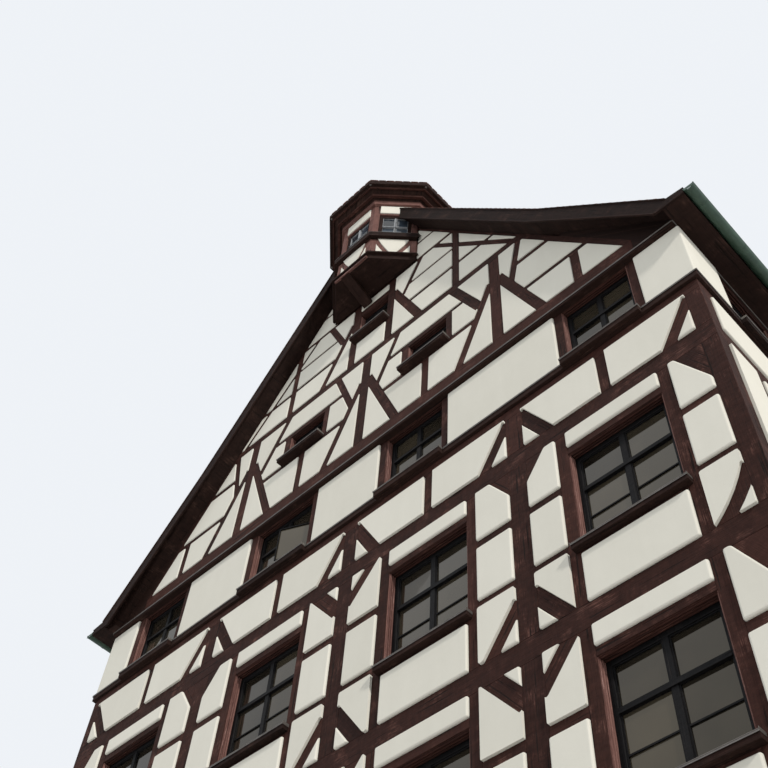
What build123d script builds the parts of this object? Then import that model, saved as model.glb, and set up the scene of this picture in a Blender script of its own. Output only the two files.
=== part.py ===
from build123d import *
import math
import os

os.makedirs("parts", exist_ok=True)

# Half timbered house, millimetres. The origin is the middle of the plan at ground level,
# the gable front faces -Y, the ridge runs along Y and +Z is up.
joint = 0.3

# Plan
bay = 2760
corner_bay = 2800
front_bays = 4
side_bays = 5
post_shift = 110

# Levels
ground_height = 5610
storey_height = 2860
beam_height = 290
third_height = 2470
ledge_height = 50
tie_height = 190
gable_sill = 260

# Stone ground storey
stone_depth = 600
stone_window_width = 1400
stone_window_sill = 1300
stone_head = 3700
front_door_place = 2
door_width = 1700
door_spring = 2600
door_depth = 70
door_setback = 300
arch_step = 60
stone_setback = 250
ground_slab = 150

# Timbers and infill of the walls
wall_depth = 200
post_width = 260
corner_post = 200
window_post = 145
rail_height = 110
upper_rail = 890
upper_rail_height = 130
brace_width = 183
head_brace_width = 210
counter_brace_width = 130
foot_brace_rise = 445
foot_brace_run = 325
foot_brace_bow = 45
head_brace_rise = 397
head_brace_run = 328
brace_reach = 90
knee_rise = 400
knee_run = 270
corner_knee_rise = 630
corner_knee_run = 340
panel_proud = 30
smallest_panel = 4000
curve_steps = 5

# Windows of the first and second storey, heights above the storey's own beam foot
window_width = 1230
window_height = 1470
window_sill = 1030
sash_width = 70
sash_depth = 60
sash_setback = 110
pane_thickness = 12
sill_board_height = 70
sill_board_reach = 90
sill_board_side = 60
third_sill_reach = 115
gable_sill_reach = 140
gable_sill_side = 70

# Third storey: a braced lower row, a projecting ledge and a plastered window zone
low_row = 1000
third_sill_rail = 170
third_ledge = 100
ledge_reach = 45
plate_reach = 90
low_row_post = 150
low_row_brace_run = 330
low_row_brace_drop = 140
third_window_width = 1060
third_window_places = ((-4270, 1060), (-1465, 1230), (1165, 1050), (4270, 1030))
third_post = 120

# Roof
pitch = math.radians(56)
gable_half = 4950
roof_thickness = 220
flare_start = 3800
eave_reach = 320
eave_edge = 120
eave_strip = 240
eave_strip_fall = 30
eaves_box_start = 450
verge_reach = 310
verge_board = 30
verge_depth = 245
ridge_radius = 130
gutter_radius = 80
gutter_wall = 6
gutter_rise = 75

# Gable storeys: how high their beams lie, as shares of the gable's height
first_beam_share = 0.316
second_beam_share = 0.6065
gable_beam_height = 200
upper_beam_height = 120
gable_post = 210
gable_brace = 165
thin_brace = 110
low_rafter = 110
high_rafter = 60
high_post = 180
middle_post = 155
gable_rail_height = 120
high_rail_height = 90
top_rail_rise = 560
gable_window_width = 810
gable_window_height = 690
gable_window_post = 130
top_window_width = 690
top_window_height = 850
top_lintel_height = 160

# Turret on the gable
turret_apothem = 1015
turret_reach = 640
turret_wall = 120
turret_post = 110
turret_base = 90
turret_drop = 85
turret_ledge = 60
turret_sill_reach = 85
turret_parapet = 570
turret_sill = 140
turret_light = 920
turret_lintel = 60
turret_frieze = 310
turret_cornice = 150
turret_eave_reach = 345
turret_eave_lift = 220
turret_eave_edge = 60
turret_tip = 30
turret_roof_height = 2550
turret_panel_proud = 18
turret_brace_width = 95
turret_brace_foot = 70
turret_brace_bow = 25
turret_window_setback = 30
strut_width = 200
strut_depth = 90
strut_place = -150
strut_foot_drop = 300

# Worked out from the values above
half_width = (front_bays / 2 - 1) * bay + corner_bay
half_depth = (side_bays / 2 - 1) * bay + corner_bay
side_end = half_depth - wall_depth - joint
third_foot = ground_height + 2 * storey_height
ledge_foot = third_foot + third_height
tie_foot = ledge_foot + ledge_height
tie_top = tie_foot + tie_height
gable_foot = tie_top + gable_sill
apex = gable_foot + gable_half * math.tan(pitch)
ridge = apex + roof_thickness / math.cos(pitch)
first_gable_beam = gable_foot + first_beam_share * (apex - gable_foot)
first_gable_top = first_gable_beam + gable_beam_height
second_gable_beam = gable_foot + second_beam_share * (apex - gable_foot)
second_gable_top = second_gable_beam + upper_beam_height

front_plane = Plane(origin=(0, -half_depth, 0), x_dir=(1, 0, 0), z_dir=(0, -1, 0))
back_plane = Plane(origin=(0, half_depth, 0), x_dir=(-1, 0, 0), z_dir=(0, 1, 0))
right_plane = Plane(origin=(half_width, 0, 0), x_dir=(0, 1, 0), z_dir=(1, 0, 0))
left_plane = Plane(origin=(-half_width, 0, 0), x_dir=(0, -1, 0), z_dir=(-1, 0, 0))


def finish(part, name):
    part.part.label = name
    export_step(part.part, f"parts/{name}.step")
    print(name, len(part.part.solids()))


def bar(start, end, width, bow=0, reach=0):
    """A timber as its centre line from start to end, with its width, the rise of its
    curve in the middle and how far it runs on past both ends."""
    return (Vector(*start), Vector(*end), width, bow, reach)


def level(left, right, foot, height):
    """A level timber from left to right, standing on foot."""
    middle = foot + height / 2
    return bar((left, middle), (right, middle), height)


def upright(middle, foot, top, width):
    return bar((middle, foot), (middle, top), width)


def polygon(*points):
    with BuildSketch() as outline:
        with BuildLine():
            Polyline(*points, close=True)
        make_face()
    return outline.sketch


def bar_outline(timber, grow=0):
    """The outline of one timber as a sketch in the wall's own plane."""
    start, end, width, bow, reach = timber
    along = (end - start).normalized()
    across = Vector(-along.Y, along.X)
    first = start - along * (reach + grow)
    last = end + along * (reach + grow)
    half = across * (width / 2 + grow)
    steps = curve_steps if bow else 1
    spots = []
    for step in range(steps + 1):
        share = step / steps
        spots.append(first + (last - first) * share + across * (4 * bow * share * (1 - share)))
    edge = [spot - half for spot in spots] + [spot + half for spot in reversed(spots)]
    return polygon(*[(point.X, point.Y) for point in edge])


def meets(one, other):
    a = one.bounding_box()
    b = other.bounding_box()
    apart = a.min.X > b.max.X or b.min.X > a.max.X or a.min.Y > b.max.Y or b.min.Y > a.max.Y
    return not apart


def fit_timbers(timbers, region):
    """Cuts each timber back from the ones before it and from the edge of region.
    Returns the faces of the timbers and the shapes that the infill keeps clear of."""
    faces = []
    cutters = []
    for timber in timbers:
        outline = bar_outline(timber)
        if not meets(outline, region):
            continue
        near = [cutter for cutter in cutters if meets(cutter, outline)]
        with BuildSketch() as fitted:
            add(outline)
            add(region, mode=Mode.INTERSECT)
            if near:
                add(near, mode=Mode.SUBTRACT)
        faces += [face for face in fitted.sketch.faces() if face.area > smallest_panel / 2]
        cutters.append(bar_outline(timber, joint))
    return faces, cutters


def rectangle(left, right, foot, top):
    with BuildSketch() as outline:
        with Locations(((left + right) / 2, (foot + top) / 2)):
            Rectangle(right - left, top - foot)
    return outline.sketch


def fit_panels(region, cutters, windows):
    """The plaster fields that are left between the timbers and beside the windows."""
    holes = [rectangle(*window_box(window)) for window in windows]
    with BuildSketch() as fields:
        add(region)
        add(cutters + holes, mode=Mode.SUBTRACT)
    return [face for face in fields.sketch.faces() if face.area > smallest_panel]


def window_box(window):
    middle, foot, width, height = window
    return (middle - width / 2, middle + width / 2, foot, foot + height)


def stand(plane, faces, outer, depth):
    """Extrudes faces drawn in a wall's plane from outer, which is in front of it, inwards."""
    with BuildSketch(plane.offset(outer)) as drawn:
        add(faces)
    extrude(drawn.sketch, amount=-depth)


def post_centres(bays):
    """The posts between the bays, those of the front and the back stand off the middle."""
    shift = post_shift if bays == front_bays else 0
    return [(number - bays / 2) * bay + shift for number in range(1, bays)]


def bay_edges(bays, half_length):
    """The faces of the posts to the left and to the right of each bay."""
    centres = post_centres(bays)
    lefts = [corner_post - half_length] + [centre + post_width / 2 for centre in centres]
    rights = [centre - post_width / 2 for centre in centres] + [half_length - corner_post]
    return list(zip(lefts, rights))


def post_bars(bays, half_length, foot, top):
    bars = [upright(centre, foot, top, post_width) for centre in post_centres(bays)]
    for side in (-1, 1):
        bars.append(upright(side * (half_length - corner_post / 2), foot, top, corner_post))
    return bars


def foot_brace(face, side, foot, bow):
    """From a post's face down to the beam, side is +1 to the right of the post."""
    start = (face, foot + foot_brace_rise)
    end = (face + side * foot_brace_run, foot)
    return bar(start, end, brace_width, -side * bow, brace_reach)


def head_brace(face, side, top):
    start = (face, top - head_brace_rise)
    end = (face + side * head_brace_run, top)
    return bar(start, end, head_brace_width, 0, brace_reach)


def knee(face, side, top, rise, run):
    """A solid knee that fills the corner under the beam."""
    height = run * rise / math.hypot(run, rise)
    shift = Vector(-side * rise, run).normalized() * (height / 2)
    start = Vector(face, top - rise) + shift
    end = Vector(face + side * run, top) + shift
    return bar((start.X, start.Y), (end.X, end.Y), height)


def window_places(bays, full):
    """The bays that hold a window: all of a full wall's, every other one of a plain wall's."""
    return [place for place in range(bays) if full or min(place, bays - 1 - place) % 2 == 0]


def window_timbers(left, right, floor, full):
    """The posts and rails round one window and the rails between them and the main posts."""
    foot = floor + beam_height
    top = floor + storey_height
    sill = floor + window_sill
    head = sill + window_height
    start = (left + right - window_width) / 2
    end = start + window_width
    timbers = []
    for middle in (start - window_post / 2, end + window_post / 2):
        timbers.append(upright(middle, foot, top, window_post))
    timbers.append(level(start, end, head, rail_height))
    timbers.append(level(start, end, sill - rail_height, rail_height))
    if full:
        for low, high in ((left, start), (end, right)):
            timbers.append(level(low, high, sill, rail_height))
            timbers.append(level(low, high, sill + upper_rail, upper_rail_height))
    return timbers


def storey_timbers(number, bays, half_length, full):
    """The timbers of the first and second storey. A full wall has knees or head braces
    at every post and rails beside each window, a plain one only foot braces and a rail
    in the bays without a window and at the corners."""
    floor = ground_height + (number - 1) * storey_height
    foot = floor + beam_height
    top = floor + storey_height
    timbers = [level(-half_length, half_length, floor, beam_height)]
    timbers += post_bars(bays, half_length, foot, top)
    edges = bay_edges(bays, half_length)
    windows = []
    for place in window_places(bays, full):
        windows += window_timbers(*edges[place], floor, full)
    if full:
        timbers += windows
    for place, (left, right) in enumerate(edges):
        for face, side in ((left, 1), (right, -1)):
            corner = abs(face) > half_length - corner_post - joint
            if full and corner:
                timbers.append(foot_brace(face, side, foot, foot_brace_bow))
                timbers.append(knee(face, side, top, corner_knee_rise, corner_knee_run))
            elif full:
                timbers.append(foot_brace(face, side, foot, 0))
                if number == 2 and abs(face) > bay / 2:
                    timbers.append(knee(face, side, top, knee_rise, knee_run))
                else:
                    timbers.append(head_brace(face, side, top))
            elif corner or place not in window_places(bays, full):
                timbers.append(foot_brace(face, side, foot, 0))
    if not full:
        timbers += windows
        for place, (left, right) in enumerate(edges):
            if place not in window_places(bays, full):
                timbers.append(level(left, right, floor + window_sill, rail_height))
    return timbers


def storey_windows(number, bays, half_length, full):
    sill = ground_height + (number - 1) * storey_height + window_sill
    edges = bay_edges(bays, half_length)
    middles = [sum(edges[place]) / 2 for place in window_places(bays, full)]
    return [(middle, sill, window_width, window_height) for middle in middles]


def third_low_timbers(bays, half_length, full):
    """The row under the ledge of the third storey, braced on a full wall."""
    foot = third_foot + beam_height
    top = third_foot + low_row
    timbers = [level(-half_length, half_length, third_foot, beam_height)]
    timbers.append(level(-half_length, half_length, top, third_sill_rail))
    timbers += post_bars(bays, half_length, foot, top)
    if full:
        for left, right in bay_edges(bays, half_length):
            timbers.append(upright((left + right) / 2, foot, top, low_row_post))
            for face, side in ((left, 1), (right, -1)):
                start = (face, top - low_row_brace_drop)
                end = (face + side * low_row_brace_run, foot)
                timbers.append(bar(start, end, brace_width, 0, brace_reach))
    return timbers


def third_windows(places):
    sill = third_foot + low_row + third_sill_rail + third_ledge
    return [(centre, sill, width, ledge_foot - sill) for centre, width in places]


def third_posts(windows):
    timbers = []
    for middle, foot, width, height in windows:
        for side in (-1, 1):
            edge = middle + side * (width + third_post) / 2
            timbers.append(upright(edge, foot, foot + height, third_post))
    return timbers


def both(timbers):
    """Each timber of the right half of a gable with its mirror image on the left."""
    pairs = []
    for start, end, width, bow, reach in timbers:
        pairs.append((start, end, width, bow, reach))
        pairs.append((Vector(-start.X, start.Y), Vector(-end.X, end.Y), width, -bow, reach))
    return pairs


def across(share):
    """A place in the gable as a share of half its width."""
    return share * gable_half


def low_level(share):
    """A height in the gable's bottom row as a share of the row."""
    return gable_foot + share * (first_gable_beam - gable_foot)


def high_level(share):
    return first_gable_top + share * (second_gable_beam - first_gable_top)


side_window_place = across(0.271)
side_window_foot = low_level(0.431)
top_window_foot = high_level(0.378)
gable_windows = [
    (side_window_place, side_window_foot, gable_window_width, gable_window_height),
    (-side_window_place, side_window_foot, gable_window_width, gable_window_height),
    (0, top_window_foot, top_window_width, top_window_height),
]


def rafter(foot, top, width):
    """The timber under the roof slope between two heights."""
    inward = Vector(-math.sin(pitch), -math.cos(pitch)) * (width / 2)
    start = Vector((apex - foot) / math.tan(pitch), foot) + inward
    end = Vector((apex - top) / math.tan(pitch), top) + inward
    return bar((start.X, start.Y), (end.X, end.Y), width, 0, brace_reach)


def gable_timbers(full):
    """The gable wall above its sill beams, a full one with braces and all its rails."""
    foot = gable_foot
    top = first_gable_beam
    outer = across(0.55)
    post_face = gable_post / 2
    high_face = top_window_width / 2
    window_edge = gable_window_width / 2
    beams = [
        level(-half_width, half_width, top, gable_beam_height),
        level(-half_width, half_width, second_gable_beam, upper_beam_height),
    ]
    rafters = both([rafter(foot, top, low_rafter), rafter(first_gable_top, apex, high_rafter)])
    king = [upright(0, foot, top, gable_post)]
    posts = both([
        upright(outer, foot, top, gable_post),
        upright(high_face + high_post / 2, first_gable_top, second_gable_beam, high_post),
        upright(across(0.392), first_gable_top, second_gable_beam, middle_post),
    ])
    knee_foot = low_level(0.69)
    braces = both([
        bar((post_face, knee_foot), (across(0.15), foot), gable_brace, 0, brace_reach),
        bar((outer - post_face, knee_foot), (across(0.404), foot), gable_brace, 0, brace_reach),
        bar((outer + post_face, knee_foot), (across(0.703), foot), gable_brace, 0, brace_reach),
        bar(
            (high_face + high_post, high_level(0.715)),
            (across(0.226), first_gable_top),
            gable_brace,
            0,
            brace_reach,
        ),
    ])
    sill = side_window_foot
    head = sill + gable_window_height
    windows = both([
        upright(side_window_place - window_edge - gable_window_post / 2, sill, head, gable_window_post),
        upright(side_window_place + window_edge + gable_window_post / 2, sill, head, gable_window_post),
        upright(side_window_place, foot, sill - gable_window_post, low_row_post),
        level(across(0.085), across(0.4525), sill - gable_window_post, gable_window_post),
        level(across(0.113), across(0.424), head, rail_height),
    ])
    top_window = [
        level(-high_face, high_face, top_window_foot + top_window_height, top_lintel_height),
        level(-high_face, high_face, top_window_foot - rail_height, rail_height),
    ]
    plain = king + beams + rafters + posts
    if not full:
        return plain + windows + top_window
    counter_braces = both([
        bar((across(0.0626), low_level(0.569)), (across(0.1374), top), counter_brace_width, 0, brace_reach),
        bar((across(0.481), low_level(0.56)), (across(0.384), top), gable_brace, 0, brace_reach),
        bar((across(0.612), low_level(0.543)), (across(0.6505), top), counter_brace_width, 0, brace_reach),
        bar(
            (across(0.1535), high_level(0.59)),
            (across(0.224), second_gable_beam),
            counter_brace_width,
            0,
            brace_reach,
        ),
        bar((across(0.303), second_gable_beam), (across(0.6525), top), thin_brace, 0, brace_reach),
    ])
    rails = both([
        upright(across(0.83), foot, low_level(0.3017), window_post),
        level(across(0.642), across(0.95), low_level(0.3017), gable_rail_height),
        level(across(0.63), across(0.83), low_level(0.681), gable_rail_height),
        level(across(0.192), across(0.392), high_level(0.653), high_rail_height),
        level(across(0.182), across(0.646), high_level(0.316), rail_height),
        level(0, half_width, second_gable_top + top_rail_rise, high_rail_height),
    ])
    return plain + braces + counter_braces + windows + rails + top_window


# Stone ground storey: piers, breast walls under the windows and the wall over them
def stone_wall(plane, bays, half_length, end, full):
    """One wall of the ground storey, a full one has the front door in one of its bays."""
    edges = bay_edges(bays, half_length)
    holes = []
    breasts = []
    for place in window_places(bays, full):
        with_door = full and place == front_door_place
        width = door_width if with_door else stone_window_width
        middle = sum(edges[place]) / 2
        start = middle - width / 2
        stop = middle + width / 2
        holes.append((start, stop))
        if with_door:
            door = (start, stop)
        else:
            breasts.append(rectangle(start + joint, stop - joint, 0, stone_window_sill))
    starts = [-end] + [hole[1] for hole in holes]
    stops = [hole[0] for hole in holes] + [end]
    piers = [rectangle(start, stop, 0, stone_head - joint) for start, stop in zip(starts, stops)]
    upper = rectangle(-end, end, stone_head, ground_height - joint)
    stand(plane, piers, 0, stone_depth)
    stand(plane, breasts, 0, stone_depth)
    stand(plane, upper, 0, stone_depth)
    if full:
        start, stop = door
        middle = (start + stop) / 2
        with BuildSketch() as arch:
            add(rectangle(start + joint, stop - joint, door_spring, stone_head - joint))
            with Locations((middle, door_spring)):
                Circle(door_width / 2 - arch_step, mode=Mode.SUBTRACT)
        stand(plane, arch.sketch, 0, stone_depth)


def stone_windows(bays, half_length, full):
    height = stone_head - stone_window_sill
    windows = []
    edges = bay_edges(bays, half_length)
    for place in window_places(bays, full):
        if not full or place != front_door_place:
            windows.append((sum(edges[place]) / 2, stone_window_sill, stone_window_width, height))
    return windows


stone_side_end = half_depth - stone_depth - joint
gable_sides = ("front", "back")
walls = {
    "front": (front_plane, front_bays, half_width, half_width, half_width),
    "back": (back_plane, front_bays, half_width, half_width, half_width),
    "right": (right_plane, side_bays, half_depth, side_end, stone_side_end),
    "left": (left_plane, side_bays, half_depth, side_end, stone_side_end),
}

for side, (plane, bays, length, end, stone_end) in walls.items():
    with BuildPart() as stone:
        stone_wall(plane, bays, length, stone_end, side == "front")
    finish(stone, f"{side}_ground_wall")

# Ground slab and the floors at the three storey beams
def floor_plate(half_across, half_along, foot, top):
    with BuildPart() as floor:
        with Locations((0, 0, (foot + top) / 2)):
            Box(2 * half_across, 2 * half_along, top - foot)
    return floor


within_stone = stone_depth + joint
within_walls = wall_depth + joint
ground_plate = floor_plate(half_width - within_stone, half_depth - within_stone, 0, ground_slab)
finish(ground_plate, "ground_floor")

for number in (1, 2, 3):
    foot = ground_height + (number - 1) * storey_height
    storey_floor = floor_plate(
        half_width - within_walls, half_depth - within_walls, foot, foot + beam_height
    )
    finish(storey_floor, f"floor_{number}")

# Timber frames, infill and windows of the four walls
def wall_parts(bays, length, end, full):
    """The faces of one wall's timbers, panels and plaster zone, and its windows."""
    timbers = []
    panels = []
    windows = []
    for number in (1, 2):
        floor = ground_height + (number - 1) * storey_height
        region = rectangle(-end, end, floor + joint, floor + storey_height)
        here = storey_windows(number, bays, length, full)
        faces, cutters = fit_timbers(storey_timbers(number, bays, length, full), region)
        timbers += faces
        panels += fit_panels(region, cutters, here)
        windows += here
    region = rectangle(-end, end, third_foot + joint, third_foot + low_row + third_sill_rail - joint)
    faces, cutters = fit_timbers(third_low_timbers(bays, length, full), region)
    timbers += faces
    panels += fit_panels(region, cutters, [])
    places = third_window_places
    if not full:
        edges = bay_edges(bays, length)
        places = [(sum(edges[place]) / 2, third_window_width) for place in window_places(bays, full)]
    high = third_windows(places)
    sill = high[0][1]
    zone = rectangle(-end, end, sill + joint, ledge_foot - joint)
    faces, cutters = fit_timbers(third_posts(high), zone)
    timbers += faces
    corner = end + panel_proud if end == length else end
    plaster_zone = rectangle(-corner, corner, sill + joint, ledge_foot - joint)
    plaster = fit_panels(plaster_zone, cutters, high)
    return timbers, panels, plaster, windows + high


drawn_walls = {}
wall_windows = {}
for side, (plane, bays, length, end, stone_end) in walls.items():
    kind = side if side in gable_sides else "side"
    if kind not in drawn_walls:
        drawn_walls[kind] = wall_parts(bays, length, end, side == "front")
    timbers, panels, plaster, windows = drawn_walls[kind]
    with BuildPart() as frame:
        stand(plane, timbers, 0, wall_depth)
    finish(frame, f"{side}_frame")
    with BuildPart() as infill:
        stand(plane, panels, panel_proud, wall_depth + panel_proud)
        stand(plane, plaster, panel_proud, wall_depth + panel_proud)
    finish(infill, f"{side}_infill")
    wall_windows[side] = windows


def sashes(plane, windows, setback, glass):
    """Window frames, or with glass the panes that they hold."""
    fields = []
    lights = []
    for window in windows:
        left, right, foot, top = window_box(window)
        rim = joint + sash_width
        fields.append(rectangle(left + joint, right - joint, foot + joint, top - joint))
        lights.append(rectangle(left + rim, right - rim, foot + rim, top - rim))
    if glass:
        panes = []
        for light in lights:
            box = light.bounding_box()
            panes.append(
                rectangle(
                    box.min.X + joint,
                    box.max.X - joint,
                    box.min.Y + joint,
                    box.max.Y - joint,
                )
            )
        stand(plane, panes, (pane_thickness - sash_depth) / 2 - setback, pane_thickness)
    else:
        with BuildSketch() as rims:
            add(fields)
            add(lights, mode=Mode.SUBTRACT)
        stand(plane, rims.sketch, -setback, sash_depth)


def wall_sashes(side, glass):
    """All the window frames of one side of the house, or their panes."""
    plane, bays, length, end, stone_end = walls[side]
    sashes(plane, wall_windows[side], sash_setback, glass)
    sashes(plane, stone_windows(bays, length, side == "front"), stone_setback, glass)
    if side in gable_sides:
        sashes(plane, gable_windows, sash_setback, glass)


for side in walls:
    with BuildPart() as windows:
        wall_sashes(side, False)
    finish(windows, f"{side}_windows")

with BuildPart() as window_panes:
    for side in walls:
        wall_sashes(side, True)
finish(window_panes, "window_panes")

# Sill boards: boxed under the windows of the gables, and in front of the ledge under those
# of the third storey
def sill_boards(plane, windows, side, foot, height, inner, reach):
    """Boards that stand out by reach from a face that itself lies inner from the plane."""
    boards = []
    for window in windows:
        left, right, sill, top = window_box(window)
        boards.append(rectangle(left - side, right + side, sill - foot, sill - foot + height))
    stand(plane, boards, reach, reach - inner - joint)


with BuildPart() as window_sills:
    for side, (plane, bays, length, end, stone_end) in walls.items():
        high = [window for window in wall_windows[side] if window[1] > third_foot]
        low = [window for window in wall_windows[side] if window[1] < third_foot]
        drop = sill_board_height
        sill_boards(plane, low, sill_board_side, drop, drop, 0, sill_board_reach)
        sill_boards(
            plane, high, sill_board_side, third_ledge, third_ledge, ledge_reach, third_sill_reach
        )
        if side in gable_sides:
            sill_boards(plane, gable_windows, gable_sill_side, drop, drop, 0, gable_sill_reach)
finish(window_sills, "window_sills")

# The ledges that run round the house under and over the windows of the third storey
with BuildPart() as storey_ledges:
    low = third_foot + low_row + third_sill_rail
    for side, (plane, bays, length, end, stone_end) in walls.items():
        around = ledge_reach if side in gable_sides else 0
        ledge = rectangle(-end - around, end + around, low, low + third_ledge)
        stand(plane, ledge, ledge_reach, wall_depth + ledge_reach)
        reach = plate_reach if side in gable_sides else 0
        plate = rectangle(-end, end, ledge_foot, tie_foot - joint)
        stand(plane, plate, reach, wall_depth + reach)
finish(storey_ledges, "storey_ledges")

# Front door: two leaves under the stone arch
door_left, door_right = bay_edges(front_bays, half_width)[front_door_place]
door_middle = (door_left + door_right) / 2
with BuildPart() as entrance_door:
    for side in (-1, 1):
        inner = door_middle + side * joint / 2
        outer = door_middle + side * (door_width / 2 - arch_step - joint)
        low, high = sorted((inner, outer))
        with BuildSketch() as leaf:
            add(rectangle(low, high, 0, door_spring + door_width / 2))
            with BuildSketch(mode=Mode.PRIVATE) as head:
                add(rectangle(low, high, 0, door_spring))
                with Locations((door_middle, door_spring)):
                    Circle(door_width / 2 - arch_step - joint)
            add(head.sketch, mode=Mode.INTERSECT)
        stand(front_plane, leaf.sketch, -door_setback, door_depth)
finish(entrance_door, "entrance_door")

# Gable walls
turret_foot = second_gable_top + joint
turret_y = turret_apothem - turret_reach - half_depth


def gable_region(turret):
    """The gable wall above its sill beams, with the turret's place left out of the front one."""
    drop = joint / math.cos(pitch)
    half = gable_half - drop / math.tan(pitch)
    with BuildSketch() as region:
        add(polygon((-half, gable_foot), (half, gable_foot), (0, apex - drop)))
        if turret:
            edge = turret_apothem + joint
            add(rectangle(-edge, edge, second_gable_top, ridge), mode=Mode.SUBTRACT)
    return region.sketch


for side, plane in (("front", front_plane), ("back", back_plane)):
    region = gable_region(side == "front")
    timbers, cutters = fit_timbers(gable_timbers(side == "front"), region)
    panels = fit_panels(region, cutters, gable_windows)
    with BuildPart() as gable_frame:
        stand(plane, timbers, 0, wall_depth)
        stand(plane, rectangle(-half_width, half_width, tie_foot, tie_top - joint), 0, wall_depth)
        edge = gable_half - joint
        stand(plane, rectangle(-edge, edge, tie_top, gable_foot - joint), 0, wall_depth)
    finish(gable_frame, f"{side}_gable_frame")
    with BuildPart() as gable_infill:
        stand(plane, panels, panel_proud, wall_depth + panel_proud)
    finish(gable_infill, f"{side}_gable_infill")

# Attic floors: the lowest lies on the side walls, the others reach the roof slopes
def attic_floor(half, foot, top):
    return floor_plate(half, half_depth - within_walls, foot, top)


def slope_half(height):
    """Half the width between the roof slopes at a height."""
    return (apex - height) / math.tan(pitch) - joint / math.sin(pitch)


finish(attic_floor(half_width, tie_foot, tie_top - joint), "attic_floor_1")
finish(attic_floor(slope_half(first_gable_top), first_gable_beam, first_gable_top), "attic_floor_2")
finish(attic_floor(slope_half(second_gable_top), second_gable_beam, second_gable_top), "attic_floor_3")

# Main roof: each slope runs out a little flatter from flare_start to a level strip at the eave
eave_x = half_width + eave_reach
eave_foot = tie_foot
eave_top = eave_foot + eave_edge
bend_x = eave_x - eave_strip
bend_height = eave_top + eave_strip_fall
flare_height = ridge - flare_start * math.tan(pitch)
flare_slope = (flare_height - bend_height) / (bend_x - flare_start)
roof_end = half_depth + verge_reach - verge_board
box_wall = half_width + joint
box_top = tie_top + joint


def under_kink(depth):
    """Where the underside of a layer of this depth turns to the flatter slope."""
    upper = ridge - depth / math.cos(pitch)
    lower = flare_height + flare_slope * flare_start - depth * math.hypot(1, flare_slope)
    kink = (upper - lower) / (math.tan(pitch) - flare_slope)
    return (kink, upper - kink * math.tan(pitch))


under_x, under_height = under_kink(roof_thickness)


def mirrored(side, points):
    """A polygon drawn for the right slope, put on one side, +1 is the right one."""
    return polygon(*[(side * distance, height) for distance, height in points])


def roof_section(side):
    """The section through one slope, boxed at the wall."""
    return mirrored(side, [
        (joint / 2, ridge),
        (flare_start, flare_height),
        (bend_x, bend_height),
        (eave_x, eave_top),
        (eave_x, eave_foot),
        (box_wall, eave_foot),
        (box_wall, box_top),
        (under_x, under_height),
        (joint / 2, apex),
    ])


def verge_section(side):
    """The board along the edge of one slope, equally deep all the way."""
    kink_x, kink_height = under_kink(verge_depth)
    return mirrored(side, [
        (joint / 2, ridge),
        (flare_start, flare_height),
        (bend_x, bend_height),
        (eave_x, eave_top),
        (eave_x, eave_foot),
        (kink_x + (kink_height - eave_foot) / flare_slope, eave_foot),
        (kink_x, kink_height),
        (joint / 2, ridge - verge_depth / math.cos(pitch)),
    ])


def eaves_section(side):
    """What fills the space between the slope of the gable wall and the flatter underside."""
    start = under_height - eaves_box_start
    drop = joint / math.cos(pitch)
    under_slope = (under_height - box_top) / (box_wall - under_x)
    gap = joint * math.hypot(1, under_slope) / under_slope
    return mirrored(side, [
        ((apex - drop - start) / math.tan(pitch), start),
        (gable_half, gable_foot - drop),
        (gable_half, tie_top),
        (under_x + (under_height - tie_top) / under_slope - gap, tie_top),
        (under_x + (under_height - start) / under_slope - gap, start),
    ])


def octagon(apothem):
    with BuildSketch() as outline:
        with Locations((0, turret_y)):
            RegularPolygon(apothem, 8, major_radius=False, rotation=22.5)
    return outline.sketch


turret_top = (
    turret_foot
    + turret_base
    + turret_parapet
    + turret_sill
    + turret_light
    + turret_lintel
    + turret_frieze
    + turret_cornice
)
turret_eave = turret_apothem + turret_eave_reach
turret_slope_foot = turret_top + turret_eave_lift + turret_eave_edge


def octagon_layer(foot, top, apothem, mode):
    with BuildSketch(Plane.XY.offset(foot)) as layer:
        add(octagon(apothem))
    extrude(layer.sketch, amount=top - foot, mode=mode)


def turret_cover(grow):
    """The turret roof, grown by a joint where it cuts the main roof. One profile of its eaves
    and slopes runs across the turret four times, and what they share has eight sides."""
    under = turret_apothem + turret_ledge + grow
    eave = turret_eave + grow
    tip = turret_tip + grow
    heights = (
        (under, turret_top - grow),
        (eave, turret_top + turret_eave_lift - grow),
        (eave, turret_slope_foot),
        (tip, turret_top + turret_roof_height),
    )
    right = [(distance, height) for distance, height in heights]
    left = [(-distance, height) for distance, height in reversed(heights)]
    profile = polygon(*(right + left))
    with BuildPart() as cover:
        for turn in range(4):
            angle = math.pi / 4 * turn
            x_dir = (math.cos(angle), math.sin(angle), 0)
            z_dir = (math.sin(angle), -math.cos(angle), 0)
            with BuildSketch(Plane(origin=(0, turret_y, 0), x_dir=x_dir, z_dir=z_dir)) as drawn:
                add(profile)
            mode = Mode.INTERSECT if turn else Mode.ADD
            extrude(drawn.sketch, amount=2 * turret_eave, both=True, mode=mode)
    return cover.part


turret_roof_space = turret_cover(joint)


def cut_turret():
    """Takes the turret's place out of the roof: its body, its cornice and its roof."""
    cornice = turret_top - turret_cornice - joint
    octagon_layer(
        second_gable_top, cornice, turret_apothem + turret_panel_proud + joint, Mode.SUBTRACT
    )
    octagon_layer(cornice, turret_top, turret_apothem + turret_ledge + joint, Mode.SUBTRACT)
    add(turret_roof_space, mode=Mode.SUBTRACT)


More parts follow.
